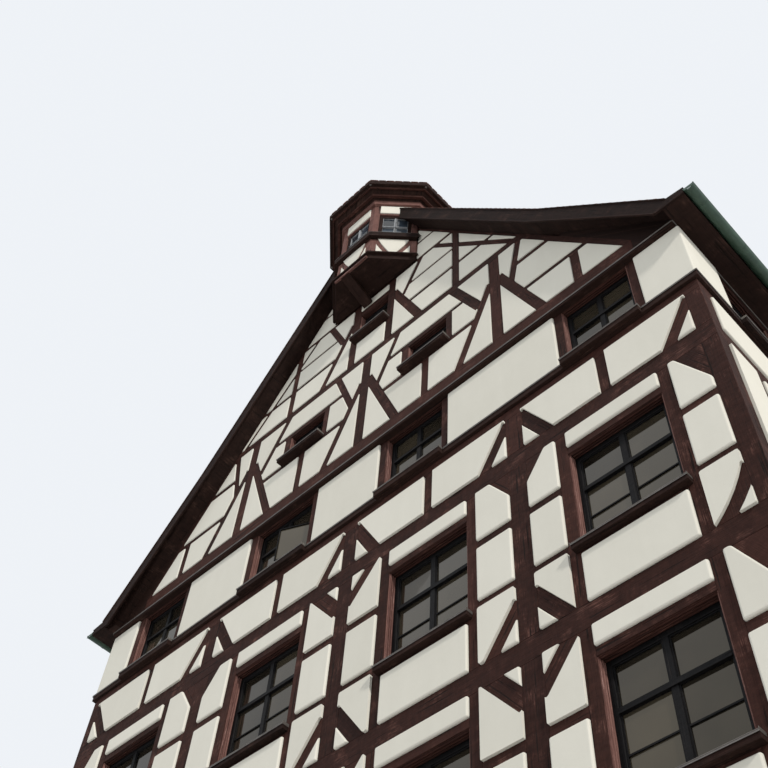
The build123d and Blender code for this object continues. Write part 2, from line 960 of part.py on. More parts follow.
front_verge = front_plane.offset(verge_reach)
back_verge = front_plane.offset(-half_depth - roof_end)
for side, name in ((-1, "left"), (1, "right")):
    with BuildPart() as roof:
        stand(front_verge.offset(-verge_board - joint), roof_section(side), 0, 2 * (roof_end - joint))
        cut_turret()
    finish(roof, f"{name}_roof")
    with BuildPart() as eaves_box:
        stand(front_plane, eaves_section(side), 0, 2 * half_depth)
    finish(eaves_box, f"{name}_eaves")

with BuildPart() as verge_boards:
    for side in (-1, 1):
        stand(front_verge, verge_section(side), 0, verge_board)
        stand(back_verge, verge_section(side), 0, verge_board)
    cut_turret()
finish(verge_boards, "verge_boards")

with BuildPart() as ridge_tiles:
    with BuildSketch() as cap:
        with Locations((0, ridge - ridge_radius / 3)):
            Circle(ridge_radius)
        drop = 2 * ridge_radius
        half = (drop + joint / math.cos(pitch)) / math.tan(pitch)
        peak = ridge + joint / math.cos(pitch)
        add(polygon((0, peak), (half, ridge - drop), (-half, ridge - drop)), mode=Mode.SUBTRACT)
    stand(front_verge, cap.sketch, 0, 2 * (half_depth + verge_reach))
    cut_turret()
finish(ridge_tiles, "ridge_tiles")

gutter_height = eave_foot + gutter_rise
with BuildPart() as gutters:
    for side in (-1, 1):
        with BuildSketch() as bowl:
            with Locations((side * (eave_x + joint + gutter_radius), gutter_height)):
                Circle(gutter_radius)
                Circle(gutter_radius - gutter_wall, mode=Mode.SUBTRACT)
                with Locations((0, gutter_radius)):
                    Rectangle(2 * gutter_radius, 2 * gutter_radius, mode=Mode.SUBTRACT)
        stand(front_verge, bowl.sketch, 0, 2 * (half_depth + verge_reach))
finish(gutters, "gutters")

# Turret
turret_side = turret_apothem * math.tan(math.pi / 8)
parapet_foot = turret_foot + turret_base
sill_foot = parapet_foot + turret_parapet
light_foot = sill_foot + turret_sill
lintel_foot = light_foot + turret_light
frieze_foot = lintel_foot + turret_lintel
cornice_foot = frieze_foot + turret_frieze
wall_limit = -half_depth - panel_proud - joint


def turret_face(number):
    """The plane of one face, number 0 looks to the front and they go round to the right."""
    angle = math.radians(45 * number - 90)
    outward = (math.cos(angle), math.sin(angle), 0)
    origin = (turret_apothem * outward[0], turret_y + turret_apothem * outward[1], 0)
    return Plane(origin=origin, x_dir=(-outward[1], outward[0], 0), z_dir=outward)


def ring_segment(number, ledge):
    """The plan of one mitred length of an octagonal ring along one face."""
    angle = math.radians(45 * number - 90)
    outward = Vector(math.cos(angle), math.sin(angle))
    along = Vector(-outward.Y, outward.X)
    outer = turret_apothem + ledge
    inner = turret_apothem - turret_wall
    corners = []
    for side, distance in ((-1, inner), (-1, outer), (1, outer), (1, inner)):
        reach = side * (distance * math.tan(math.pi / 8) - joint)
        point = outward * distance + along * reach
        corners.append((point.X, turret_y + point.Y))
    return polygon(*corners)


def ring(foot, height, ledged, reach):
    """A ring of eight mitred lengths, the ledged ones stand out from the wall by reach."""
    for number in range(8):
        with BuildSketch(Plane.XY.offset(foot)) as segment:
            add(ring_segment(number, reach if number in ledged else 0))
        extrude(segment.sketch, amount=height)


def corner_posts(foot, top):
    """The eight bent posts at the corners."""
    corner = turret_apothem / math.cos(math.pi / 8)
    inner = (turret_apothem - turret_wall) / math.cos(math.pi / 8)
    along = Vector(math.cos(math.radians(112.5)), math.sin(math.radians(112.5))) * turret_post
    other = Vector(along.X, -along.Y)
    tip = Vector(corner, 0)
    back = Vector(inner, 0)
    inside = (turret_post - turret_wall * math.tan(math.pi / 8)) / turret_post
    points = (tip, tip + along, back + along * inside, back, back + other * inside, tip + other)
    with BuildSketch(Plane.XY.offset(foot)) as posts:
        with Locations((0, turret_y)):
            with PolarLocations(0, 8, start_angle=22.5):
                Polygon(*[(point.X, point.Y) for point in points], align=None)
    extrude(posts.sketch, amount=top - foot)


turret_half = turret_side - turret_post - joint
shown_faces = (7, 0, 1)
cornice_faces = (6, 7, 0, 1, 2)
plain_faces = (2, 3, 4, 5, 6)

with BuildPart() as turret_floor:
    with BuildSketch(Plane.XY.offset(turret_foot)) as plate:
        add(octagon(turret_apothem))
    extrude(plate.sketch, amount=turret_base)
    before_wall = (0, wall_limit - turret_apothem)
    for foot, height, apothem in (
        (turret_foot + turret_base / 2, turret_base / 2, turret_apothem + turret_ledge),
        (turret_foot - turret_drop, turret_drop, turret_apothem),
    ):
        with BuildSketch(Plane.XY.offset(foot)) as layer:
            add(octagon(apothem))
            with Locations(before_wall):
                Rectangle(3 * turret_apothem, 2 * turret_apothem, mode=Mode.INTERSECT)
        extrude(layer.sketch, amount=height)
finish(turret_floor, "turret_floor")

parapet = rectangle(-turret_half, turret_half, parapet_foot + joint, sill_foot - joint)
braces = []
for side in (-1, 1):
    start = (side * turret_half, sill_foot - turret_brace_width / 2)
    end = (side * turret_brace_foot, parapet_foot)
    braces.append(bar(start, end, turret_brace_width, side * turret_brace_bow, brace_reach))
brace_faces, brace_cutters = fit_timbers(braces, parapet)
parapet_panels = fit_panels(parapet, brace_cutters, [])
lintel = rectangle(-turret_half, turret_half, lintel_foot, frieze_foot)
frieze = rectangle(-turret_half, turret_half, frieze_foot + joint, cornice_foot - joint)
plain = rectangle(-turret_half, turret_half, light_foot + joint, cornice_foot - joint)

with BuildPart() as turret_frame:
    corner_posts(parapet_foot + joint, sill_foot - joint)
    corner_posts(light_foot + joint, cornice_foot - joint)
    ring(cornice_foot, turret_cornice - joint, cornice_faces, turret_ledge)
    for number in shown_faces:
        stand(turret_face(number), brace_faces, 0, turret_wall)
        stand(turret_face(number), lintel, 0, turret_wall)
finish(turret_frame, "turret_frame")

with BuildPart() as turret_ledges:
    ring(sill_foot, turret_sill, shown_faces, turret_sill_reach)
finish(turret_ledges, "turret_ledges")

with BuildPart() as turret_infill:
    for number in shown_faces:
        stand(turret_face(number), parapet_panels, turret_panel_proud, turret_wall)
        stand(turret_face(number), frieze, turret_panel_proud, turret_wall)
    for number in plain_faces:
        stand(turret_face(number), parapet, 0, turret_wall)
        stand(turret_face(number), plain, 0, turret_wall)
finish(turret_infill, "turret_infill")

turret_window = [(0, light_foot, 2 * turret_half, turret_light)]
with BuildPart() as turret_windows:
    for number in shown_faces:
        sashes(turret_face(number), turret_window, turret_window_setback, False)
finish(turret_windows, "turret_windows")

with BuildPart() as turret_panes:
    for number in shown_faces:
        sashes(turret_face(number), turret_window, turret_window_setback, True)
finish(turret_panes, "turret_panes")

turret_roof_solid = turret_cover(0)
with BuildPart() as turret_roof:
    add(turret_roof_solid)
finish(turret_roof, "turret_roof")

# The beam that carries the turret, from the wall over the top window to the underside
with BuildPart() as turret_strut:
    foot_height = turret_foot - strut_foot_drop
    head_height = turret_foot - turret_drop - joint
    head_y = turret_y - turret_apothem + strut_depth
    foot_y = wall_limit
    run = math.hypot(foot_y - head_y, head_height - foot_height)
    rise = strut_depth / 2 * run / (foot_y - head_y)
    slide = strut_depth / 2 * run / (head_height - foot_height)
    section = polygon(
        (foot_y, foot_height - rise),
        (foot_y, foot_height + rise),
        (head_y + slide, head_height),
        (head_y - slide, head_height),
    )
    strut_plane = Plane(
        origin=(strut_place + strut_width / 2, 0, 0), x_dir=(0, 1, 0), z_dir=(1, 0, 0)
    )
    stand(strut_plane, section, 0, strut_width)
finish(turret_strut, "turret_strut")
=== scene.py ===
import bpy
import bmesh
import math
import random
from mathutils import Matrix, Vector
from mathutils.geometry import intersect_line_line_2d, intersect_point_line


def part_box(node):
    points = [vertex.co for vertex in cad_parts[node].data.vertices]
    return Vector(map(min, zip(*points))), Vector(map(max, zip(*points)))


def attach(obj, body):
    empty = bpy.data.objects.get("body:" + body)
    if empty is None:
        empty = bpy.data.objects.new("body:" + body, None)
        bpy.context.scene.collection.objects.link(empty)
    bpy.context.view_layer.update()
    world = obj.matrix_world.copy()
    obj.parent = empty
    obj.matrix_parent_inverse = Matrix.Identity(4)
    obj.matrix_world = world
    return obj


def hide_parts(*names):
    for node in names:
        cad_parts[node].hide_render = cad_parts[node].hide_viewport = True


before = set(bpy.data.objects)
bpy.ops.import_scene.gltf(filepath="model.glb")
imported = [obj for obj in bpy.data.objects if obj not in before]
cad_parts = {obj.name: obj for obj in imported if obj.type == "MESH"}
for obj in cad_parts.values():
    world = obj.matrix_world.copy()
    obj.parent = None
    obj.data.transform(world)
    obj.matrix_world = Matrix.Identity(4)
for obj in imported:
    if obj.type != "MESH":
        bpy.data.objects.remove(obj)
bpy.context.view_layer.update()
scene = bpy.context.scene
chance = random.Random(7)
upward = Vector((0, 0, 1))


# Shading: a wrapped socket that takes Python's own sums, and a tree that makes the other nodes
class Signal:
    def __init__(self, tree, socket):
        self.tree = tree
        self.socket = socket

    def math(self, operation, *values):
        node = self.tree.nodes.new("ShaderNodeMath")
        node.operation = operation
        for place, value in enumerate(values):
            plug(self.tree, value, node.inputs[place])
        return Signal(self.tree, node.outputs[0])

    def __add__(self, other):
        return self.math("ADD", self, other)

    def __sub__(self, other):
        return self.math("SUBTRACT", self, other)

    def __mul__(self, other):
        return self.math("MULTIPLY", self, other)

    def atLeast(self, other):
        return self.math("MAXIMUM", self, other)

    def clamped(self):
        return self.math("MINIMUM", self.atLeast(0.0), 1.0)

    def above(self, level, soft):
        # 0 below the level, 1 once over it by soft
        return ((self - level) * (1.0 / soft)).clamped()


def plug(tree, value, socket):
    if isinstance(value, Signal):
        tree.links.new(value.socket, socket)
    else:
        socket.default_value = value


class Shader:
    def __init__(self, tree):
        self.tree = tree

    def node(self, kind, settings, inputs, output=0):
        node = self.tree.nodes.new(kind)
        for name, value in settings.items():
            setattr(node, name, value)
        for name, value in inputs.items():
            plug(self.tree, value, node.inputs[name])
        return Signal(self.tree, node.outputs[output])

    def blend(self, factor, *colours):
        first, second = [item if isinstance(item, Signal) else (*item, 1.0) for item in colours]
        return self.node("ShaderNodeMix", {"data_type": "RGBA"}, {0: factor, 6: first, 7: second}, 2)


class Finish(Shader):
    def __init__(self, name, **fixed):
        self.material = bpy.data.materials.new(name)
        self.material.use_nodes = True
        super().__init__(self.material.node_tree)
        self.surface = self.tree.nodes["Principled BSDF"]
        for socket, value in fixed.items():
            self.surface.inputs[socket.replace("_", " ")].default_value = value

    def use(self, socket, signal):
        plug(self.tree, signal, self.surface.inputs[socket])

    def place(self):
        return self.node("ShaderNodeTexCoord", {}, {}, "Object")

    def grain(self):
        return self.node("ShaderNodeUVMap", {"uv_map": "grain"}, {})

    def stretch(self, vector, scale):
        return self.node("ShaderNodeMapping", {}, {"Vector": vector, "Scale": scale})

    def noise(self, vector, scale, detail, roughness):
        inputs = {"Vector": vector, "Scale": scale, "Detail": detail, "Roughness": roughness}
        return self.node("ShaderNodeTexNoise", {}, inputs, "Fac")

    def tone(self):
        return self.node("ShaderNodeAttribute", {"attribute_name": "tone"}, {}, "Fac")

    def relief(self, height, distance, strength):
        inputs = {"Height": height, "Distance": distance, "Strength": strength}
        self.use("Normal", self.node("ShaderNodeBump", {}, inputs, "Normal"))


def woodFinish(name, dark, light, worn, rough, sheen=0.25):
    # fibres along the grain, cross bands from the adze, drying cracks and rubbed paint
    finish = Finish(name, Roughness=rough, Specular_IOR_Level=sheen)
    grain = finish.grain()
    fibres = finish.noise(finish.stretch(grain, (1.3, 30.0, 1.0)), 3.0, 5.0, 0.65)
    bands = finish.noise(finish.stretch(grain, (6.0, 2.0, 1.0)), 2.4, 3.0, 0.6)
    checks = finish.noise(finish.stretch(grain, (0.5, 13.0, 1.0)), 2.2, 3.0, 0.5)
    patches = finish.noise(grain, 2.6, 6.0, 0.72)
    mix = fibres * 1.1 + bands * 0.7 + patches * 0.8 + finish.tone() * 0.45 - 1.12
    paint = finish.blend(mix.clamped(), dark, light)
    rubbed = patches.above(0.54, 0.12) * fibres.above(0.46, 0.12) * 0.8
    crack = checks.above(0.63, 0.03)
    paint = finish.blend(rubbed, paint, worn)
    finish.use("Base Color", finish.blend(crack * 0.85, paint, (0.006, 0.003, 0.002)))
    finish.relief(fibres * 0.6 + bands * 0.9 - crack, 0.009, 0.9)
    return finish.material


def plasterFinish(name, pale, shade):
    finish = Finish(name, Roughness=0.92, Specular_IOR_Level=0.2)
    point = finish.place()
    clouds = finish.noise(point, 1.1, 6.0, 0.62)
    streaks = finish.noise(finish.stretch(point, (5.0, 5.0, 0.8)), 1.0, 4.0, 0.6)
    grit = finish.noise(point, 70.0, 3.0, 0.6)
    trowel = finish.noise(point, 6.0, 3.0, 0.5)
    mix = clouds * 0.55 + streaks * 0.35 + finish.tone() * 0.35 - 0.15
    finish.use("Base Color", finish.blend(mix.clamped(), pale, shade))
    finish.relief(grit * 0.25 + trowel, 0.004, 0.5)
    return finish.material


def tileFinish(name, dark, light, moss):
    finish = Finish(name, Roughness=0.85, Specular_IOR_Level=0.25)
    point = finish.place()
    weather = finish.noise(point, 0.8, 5.0, 0.65)
    grain = finish.noise(point, 55.0, 3.0, 0.6)
    growth = finish.noise(point, 3.1, 6.0, 0.7).above(0.6, 0.1)
    mix = finish.tone() * 0.7 + weather * 0.5 + grain * 0.2 - 0.25
    baked = finish.blend(mix.clamped(), dark, light)
    finish.use("Base Color", finish.blend(growth * 0.5, baked, moss))
    finish.relief(grain, 0.002, 0.5)
    return finish.material


def stoneFinish(name, dark, light):
    finish = Finish(name, Roughness=0.9, Specular_IOR_Level=0.2)
    point = finish.place()
    bed = finish.noise(finish.stretch(point, (1.0, 1.0, 7.0)), 1.5, 6.0, 0.62)
    grain = finish.noise(point, 95.0, 3.0, 0.6)
    tooled = finish.noise(finish.stretch(point, (1.0, 1.0, 0.25)), 24.0, 3.0, 0.6)
    mix = finish.tone() * 0.55 + bed * 0.6 + grain * 0.2 - 0.25
    finish.use("Base Color", finish.blend(mix.clamped(), dark, light))
    finish.relief(grain * 0.3 + bed * 0.8 + tooled * 0.6, 0.005, 0.6)
    return finish.material


def metalFinish(name, bare, aged, rough, metallic):
    # weathered sheet: patches, and runs that follow the rain downwards
    finish = Finish(name, Roughness=rough, Metallic=metallic)
    point = finish.place()
    patches = finish.noise(point, 4.0, 6.0, 0.68)
    runs = finish.noise(finish.stretch(point, (9.0, 9.0, 1.0)), 1.6, 4.0, 0.6)
    mix = (patches * 0.9 + runs * 0.6 - 0.35).clamped()
    finish.use("Base Color", finish.blend(mix, bare, aged))
    finish.use("Roughness", mix * 0.2 + (rough - 0.1))
    finish.relief(patches, 0.002, 0.3)
    return finish.material


def glassFinish(name, dark, light):
    finish = Finish(name, Roughness=0.03, IOR=1.52, Specular_Tint=(0.86, 0.76, 0.60, 1.0))
    wave = finish.noise(finish.place(), 2.6, 2.0, 0.45)
    mix = wave * 0.5 + finish.tone() * 0.7 - 0.15
    finish.use("Base Color", finish.blend(mix.clamped(), dark, light))
    finish.relief(wave, 0.004, 0.25)
    return finish.material


woods = {  # name, dark, light and worn paint, roughness and sheen
    "timber": (
        "darkTimber", (0.014, 0.005, 0.0036), (0.056, 0.0215, 0.016), (0.14, 0.066, 0.052), 0.8, 0.12
    ),
    "turretTimber": ("redTimber", (0.07, 0.03, 0.025), (0.2, 0.1, 0.083), (0.34, 0.21, 0.18), 0.75, 0.15),
    "sash": ("sashPaint", (0.0018, 0.0017, 0.002), (0.0065, 0.0058, 0.0062), (0.012, 0.01, 0.01), 0.6, 0.12),
    "paleSash": ("turretSashPaint", (0.2, 0.21, 0.22), (0.36, 0.38, 0.4), (0.44, 0.46, 0.47), 0.5),
    # the reveal paint is lighter all over, as painted sunlight on the side linings
    "reveal": ("sunlitRevealPaint", (0.075, 0.032, 0.026), (0.23, 0.118, 0.098), (0.42, 0.27, 0.235), 0.7, 0.15),
    "board": ("eavesBoard", (0.007, 0.0034, 0.0026), (0.03, 0.014, 0.0105), (0.062, 0.034, 0.026), 0.8, 0.1),
    "oak": ("doorOak", (0.06, 0.026, 0.012), (0.16, 0.08, 0.04), (0.24, 0.14, 0.08), 0.5),
    "floor": ("floorBoard", (0.16, 0.095, 0.052), (0.32, 0.21, 0.13), (0.36, 0.26, 0.18), 0.6),
}
minerals = {  # maker, name and colours, and for a metal its roughness and share of metal
    "plaster": (plasterFinish, "limePlaster", (0.66, 0.645, 0.575), (0.545, 0.53, 0.465)),
    "tile": (tileFinish, "clayTile", (0.065, 0.024, 0.016), (0.26, 0.095, 0.058), (0.045, 0.042, 0.026)),
    "stone": (stoneFinish, "redSandstone", (0.22, 0.125, 0.092), (0.45, 0.3, 0.225)),
    "copper": (metalFinish, "greenCopper", (0.01, 0.026, 0.018), (0.052, 0.098, 0.066), 0.5, 0.25),
    "flashing": (metalFinish, "flashing", (0.07, 0.06, 0.055), (0.2, 0.185, 0.17), 0.42, 0.55),
    "iron": (metalFinish, "blackIron", (0.012, 0.011, 0.011), (0.045, 0.038, 0.034), 0.5, 0.7),
    "glass": (glassFinish, "windowGlass", (0.006, 0.005, 0.004), (0.048, 0.04, 0.027)),
    # turret glass: dark glass, with a bluish colour painted in as a reflection of the sky
    "paintedSkyGlass": (glassFinish, "turretGlass", (0.006, 0.008, 0.011), (0.06, 0.08, 0.105)),
}
finishes = {key: woodFinish(*settings) for key, settings in woods.items()}
finishes.update({key: maker(*settings) for key, (maker, *settings) in minerals.items()})
print("finishes", len(finishes))


# Building: pieces, blocks, rods and the solids of a CAD node
def intoMesh(bm, name):
    mesh = bpy.data.meshes.new(name)
    bm.to_mesh(mesh)
    bm.free()
    return mesh


def pour(bm, small):
    # adds a second bmesh to the first and lets it go
    mesh = intoMesh(small, "part")
    bm.from_mesh(mesh)
    bpy.data.meshes.remove(mesh)


def addPiece(bm, name, finish, nodes=(), smooth=None):
    # smooth is the angle from which an edge stays sharp; without it every face is flat
    mesh = intoMesh(bm, name)
    mesh.materials.append(finishes[finish])
    if smooth is not None:
        mesh.shade_smooth()
        mesh.set_sharp_from_angle(angle=math.radians(smooth))
    piece = bpy.data.objects.new(name, mesh)
    if smooth is not None:
        weights = piece.modifiers.new("evenFaces", "WEIGHTED_NORMAL")  # so that wide faces stay flat
        weights.keep_sharp = True
    scene.collection.objects.link(piece)
    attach(piece, "root")
    if nodes:
        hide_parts(*nodes)


def block(bm, low, high, matrix=Matrix.Identity(4)):
    size = Vector(high) - Vector(low)
    middle = (Vector(high) + Vector(low)) / 2
    shape = Matrix.Translation(middle) @ Matrix.Diagonal(size.to_4d())
    bmesh.ops.create_cube(bm, size=1.0, matrix=matrix @ shape)


def rod(bm, start, end, radius, segments=10, tip=None, matrix=Matrix.Identity(4)):
    start = Vector(start)
    run = Vector(end) - start
    turn = run.to_track_quat("Z", "Y").to_matrix().to_4x4()
    bmesh.ops.create_cone(
        bm,
        cap_ends=True,
        segments=segments,
        radius1=radius,
        radius2=radius if tip is None else tip,
        depth=run.length,
        matrix=matrix @ Matrix.Translation(start + run / 2) @ turn,
    )


def knob(bm, place, radius):
    bmesh.ops.create_uvsphere(
        bm, u_segments=14, v_segments=9, radius=radius, matrix=Matrix.Translation(place)
    )


def softened(bm, edges, offset, segments):
    bmesh.ops.bevel(
        bm,
        geom=edges,
        offset=offset,
        offset_type="OFFSET",
        segments=segments,
        profile=0.5,
        affect="EDGES",
        clamp_overlap=True,
        material=-1,
    )


def merged(node):
    # the CAD node as whole faces instead of loose triangles
    bm = bmesh.new()
    bm.from_mesh(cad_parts[node].data)
    bmesh.ops.remove_doubles(bm, verts=bm.verts, dist=0.00002)
    bmesh.ops.dissolve_limit(
        bm, angle_limit=math.radians(0.5), verts=bm.verts, edges=bm.edges, delimit={"NORMAL"}
    )
    return bm


def islands(bm):
    # the separate solids in a mesh, each as a list of its faces
    seen = set()
    found = []
    for first in bm.faces:
        if first in seen:
            continue
        seen.add(first)
        queue = [first]
        for face in queue:
            for edge in face.edges:
                for other in edge.link_faces:
                    if other not in seen:
                        seen.add(other)
                        queue.append(other)
        found.append(queue)
    return found


def corners(faces):
    points = [vert.co for face in faces for vert in face.verts]
    low = Vector([min(point[axis] for point in points) for axis in range(3)])
    high = Vector([max(point[axis] for point in points) for axis in range(3)])
    return low, high


def solidsOf(*nodes):
    # every solid of some CAD nodes: the node's name, the faces, the lowest and the highest corner
    for node in nodes:
        source = merged(node)
        if node == "front_gable_infill":
            partWaists(source)
        for faces in islands(source):
            yield node, faces, *corners(faces)
        source.free()


def longAxis(faces):
    # the direction of a solid's longest edge, for its grain
    best = upward
    reach = 0.0
    for face in faces:
        for edge in face.edges:
            run = edge.verts[1].co - edge.verts[0].co
            if run.length > reach:
                reach = run.length
                best = run.normalized()
    return best


def addGrain(bm):
    # lays the grain map along every solid and gives each its own tone
    grain = bm.loops.layers.uv.get("grain") or bm.loops.layers.uv.new("grain")
    tone = bm.verts.layers.float.get("tone") or bm.verts.layers.float.new("tone")
    for faces in islands(bm):
        along = longAxis(faces)
        offset = chance.uniform(0, 40)
        shade = chance.random()
        for face in faces:
            across = face.normal.cross(along)
            if across.length < 0.5:  # an end of the timber
                across = along.orthogonal()
            for loop in face.loops:
                point = loop.vert.co
                loop[grain].uv = (point.dot(along) + offset, point.dot(across) + offset)
                loop.vert[tone] = shade


# What looks outward: four walls and the eight faces of the turret
sideNormals = {
    "front": Vector((0, -1, 0)),
    "back": Vector((0, 1, 0)),
    "right": Vector((1, 0, 0)),
    "left": Vector((-1, 0, 0)),
}
roofLow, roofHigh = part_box("turret_roof")
turretCentre = (roofLow + roofHigh) / 2
turretEave = (roofHigh.y - roofLow.y) / 2


def spoke(degrees):
    # a level direction from the turret's middle
    return Vector((math.cos(math.radians(degrees)), math.sin(math.radians(degrees)), 0))


def turretOutward(point):
    angle = math.atan2(point.y - turretCentre.y, point.x - turretCentre.x)
    return spoke(45 * round(math.degrees(angle) / 45))


def wallOutward(middle, size):
    # for a flat or long solid in one of the four walls
    if size.y < size.x:
        return Vector((0, math.copysign(1, middle.y), 0))
    return Vector((math.copysign(1, middle.x), 0, 0))


def wallMatrix(outward, point):
    # x to the right as seen from outside, y into the wall, z up
    turn = Matrix((upward.cross(outward), -outward, upward)).transposed().to_4x4()
    return Matrix.Translation(point) @ turn


def outerFace(faces, outward):
    best = None
    reach = -1e9
    for face in faces:
        if face.normal.dot(outward) > 0.99:
            out = face.calc_center_median().dot(outward) + 0.001 * face.calc_area()
            if out > reach:
                best = face
                reach = out
    return best


def separate(faces):
    # one solid of a mesh as a mesh of its own
    small = bmesh.new()
    copies = {}
    for face in faces:
        for vert in face.verts:
            if vert not in copies:
                copies[vert] = small.verts.new(vert.co)
        small.faces.new([copies[vert] for vert in face.verts])
    small.normal_update()
    return small


def seenArea(bm, outward):
    return sum(face.calc_area() * max(0, face.normal.dot(outward)) for face in bm.faces)


def narrowest(face):
    # the least width between a corner of a face and an edge that is not beside it
    verts = face.verts[:]
    count = len(verts)
    least = 1.0
    for index, vert in enumerate(verts):
        for step in range(2, count - 2):
            start = verts[(index + step) % count].co
            end = verts[(index + step + 1) % count].co
            share = min(1, max(0, intersect_point_line(vert.co, start, end)[1]))
            least = min(least, (vert.co - start.lerp(end, share)).length)
    return least


def crossed(face):
    # whether the outline of a face cuts through itself
    turn = face.normal.to_track_quat("Z", "Y").inverted()
    points = [(turn @ vert.co).xy for vert in face.verts]
    count = len(points)
    for index in range(count):
        for other in range(index + 2, count - (index == 0)):
            start, end = points[index], points[index + 1]
            if intersect_line_line_2d(start, end, points[other], points[(other + 1) % count]):
                return True
    return False


rounding = {
    "shares": (1, 0.6, 0.3, 0.12),  # tried in turn until nothing folds
    "waist": 0.36,      # how much of a face's narrowest part it may take
    "blunt": 2.0,       # a corner that turns further only gets the rim
    "flatten": 1.5,     # degrees
    "weld": 0.0006,
    "growth": 1.002,    # seen area, after and before, over which it has folded
    "past": 0.001,      # how far it may reach out of its old box
}


def cushioned(faces, outward, style, keep, share):
    # one solid with the corners of its outer face and then its rim rounded, or None where that folds it
    small = separate(faces)
    areas = seenArea(small, outward), seenArea(small, -outward)
    bmesh.ops.remove_doubles(small, verts=small.verts, dist=style["join"] * share)
    flatten = math.radians(rounding["flatten"])
    bmesh.ops.dissolve_limit(small, angle_limit=flatten, verts=small.verts, edges=small.edges)
    small.normal_update()
    low, high = corners(small.faces)
    face = outerFace(small.faces, outward)
    if face is None or len(small.faces) < 5:
        small.free()
        return None
    bmesh.ops.translate(small, verts=face.verts, vec=outward * -style["sink"])
    limit = narrowest(face) * rounding["waist"]
    if style["corner"]:
        rim = set(face.verts)
        posts = []
        for edge in small.edges:
            run = (edge.verts[1].co - edge.verts[0].co).normalized()
            blunt = edge.calc_face_angle(0) < rounding["blunt"]
            if abs(run.dot(outward)) > 0.98 and rim & set(edge.verts) and blunt and not keep(edge):
                posts.append(edge)
        if posts:
            softened(small, posts, min(limit, style["corner"] * share), 3)
        face = outerFace(small.faces, outward)
    rim = [edge for edge in face.edges if not keep(edge)]
    softened(small, rim, min(limit, style["rim"] * share), style["segments"])
    bmesh.ops.remove_doubles(small, verts=small.verts, dist=rounding["weld"])
    small.normal_update()
    newLow, newHigh = corners(small.faces)
    grown = max(max(low - newLow), max(newHigh - high)) > rounding["past"]
    folded = crossed(outerFace(small.faces, outward))
    for way, area in zip((outward, -outward), areas):
        folded = folded or seenArea(small, way) > area * rounding["growth"]
    if grown or folded or not all(edge.is_manifold for edge in small.edges):
        small.free()
        return None
    return small


def noSeam(edge):
    return False


# Rails of the front gable that stop just short of a brace: their ends are let into it
railStyle = {
    "ends": (  # foot, top, where the rail stops, and where its let-in end does
        (15.989, 16.100, 0.559, 0.500),
        (15.169, 15.300, 2.240, 2.320),
        (18.080, 18.171, 0.950, 0.870),
    ),
    "near": 0.002,
    "sunk": 0.0006,     # behind the brace's own face
}


def atRailEnd(vert, x, foot, top):
    near = railStyle["near"]
    return abs(vert.co.x - x) < near and foot - near < vert.co.z < top + near


def partWaists(bm):
    # a panel with only a sliver of it between a rail's end and a brace becomes two panels
    for foot, top, stop, reach in railStyle["ends"]:
        for x in (-stop, stop):
            for faces in islands(bm):
                verts = {vert for face in faces for vert in face.verts}
                if sum(atRailEnd(vert, x, foot, top) for vert in verts) < 4:
                    continue
                for height, way in ((top, -1), (foot, 1)):
                    small = separate(faces)
                    bmesh.ops.bisect_plane(
                        small,
                        geom=small.verts[:] + small.edges[:] + small.faces[:],
                        dist=0.0005,
                        plane_co=(0, 0, height),
                        plane_no=(0, 0, way),
                        clear_outer=True,
                    )
                    bmesh.ops.holes_fill(small, edges=small.edges, sides=0)
                    pour(bm, small)
                bmesh.ops.delete(bm, geom=faces, context="FACES")


def roundedSolids(nodes, side, style, keep=noSeam):
    bm = bmesh.new()
    gentle = 0
    for node, faces, low, high in solidsOf(*nodes):
        outward = sideNormals[side] if side in sideNormals else turretOutward((low + high) / 2)
        for share in rounding["shares"]:
            small = cushioned(faces, outward, style, keep, share)
            if small:
                break
        gentle += share < 1
        pour(bm, small or separate(faces))
    bm.normal_update()
    addGrain(bm)
    print("rounded", *nodes, "- less than asked:", gentle)
    return bm


# Timber frames and plaster cushions: doubles joined, face sunk, corners and rim rounded
timberStyle = {"join": 0.0008, "sink": 0, "corner": 0, "rim": 0.004, "segments": 1}
panelStyle = {"join": 0.003, "sink": 0, "corner": 0.024, "rim": 0.030, "segments": 4}
gableStyle = {"join": 0.003, "sink": 0.014, "corner": 0.016, "rim": 0.020, "segments": 3}
turretTimberStyle = {"join": 0.0008, "sink": 0, "corner": 0, "rim": 0.006, "segments": 2}
turretPanelStyle = {"join": 0.003, "sink": 0, "corner": 0.014, "rim": 0.016, "segments": 3}
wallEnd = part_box("right_frame")[1].y
seam = {"line": wallEnd - 0.25, "foot": 12.4}


def cornerSeam(edge):
    # the plaster of a side wall runs on into the plaster of the front and the back
    return all(abs(vert.co.y) > seam["line"] and vert.co.z > seam["foot"] for vert in edge.verts)


for side in sideNormals:
    timberNodes = [f"{side}_frame"]
    if side in ("front", "back"):
        timberNodes.append(f"{side}_gable_frame")
        node = f"{side}_gable_infill"
        bm = roundedSolids([node], side, gableStyle)
        addPiece(bm, f"{side}_gable_plaster", "plaster", [node], 50)
    bm = roundedSolids(timberNodes, side, timberStyle)
    addPiece(bm, f"{side}_timbers", "timber", timberNodes)
    keep = cornerSeam if side in ("right", "left") else noSeam
    bm = roundedSolids([f"{side}_infill"], side, panelStyle, keep)
    addPiece(bm, f"{side}_plaster", "plaster", [f"{side}_infill"], 50)
bm = bmesh.new()
source = merged("front_gable_frame")
for foot, top, stop, reach in railStyle["ends"]:
    for sign in (-1, 1):
        depths = [vert.co.y for vert in source.verts if atRailEnd(vert, sign * stop, foot, top)]
        left, right = sorted((sign * stop, sign * reach))
        block(bm, (left, min(depths) + railStyle["sunk"], foot), (right, max(depths), top))
source.free()
addGrain(bm)
addPiece(bm, "gable_rail_ends", "timber")
bm = roundedSolids(["turret_frame"], "turret", turretTimberStyle)
addPiece(bm, "turret_timbers", "turretTimber", ["turret_frame"])
bm = roundedSolids(["turret_infill"], "turret", turretPanelStyle)
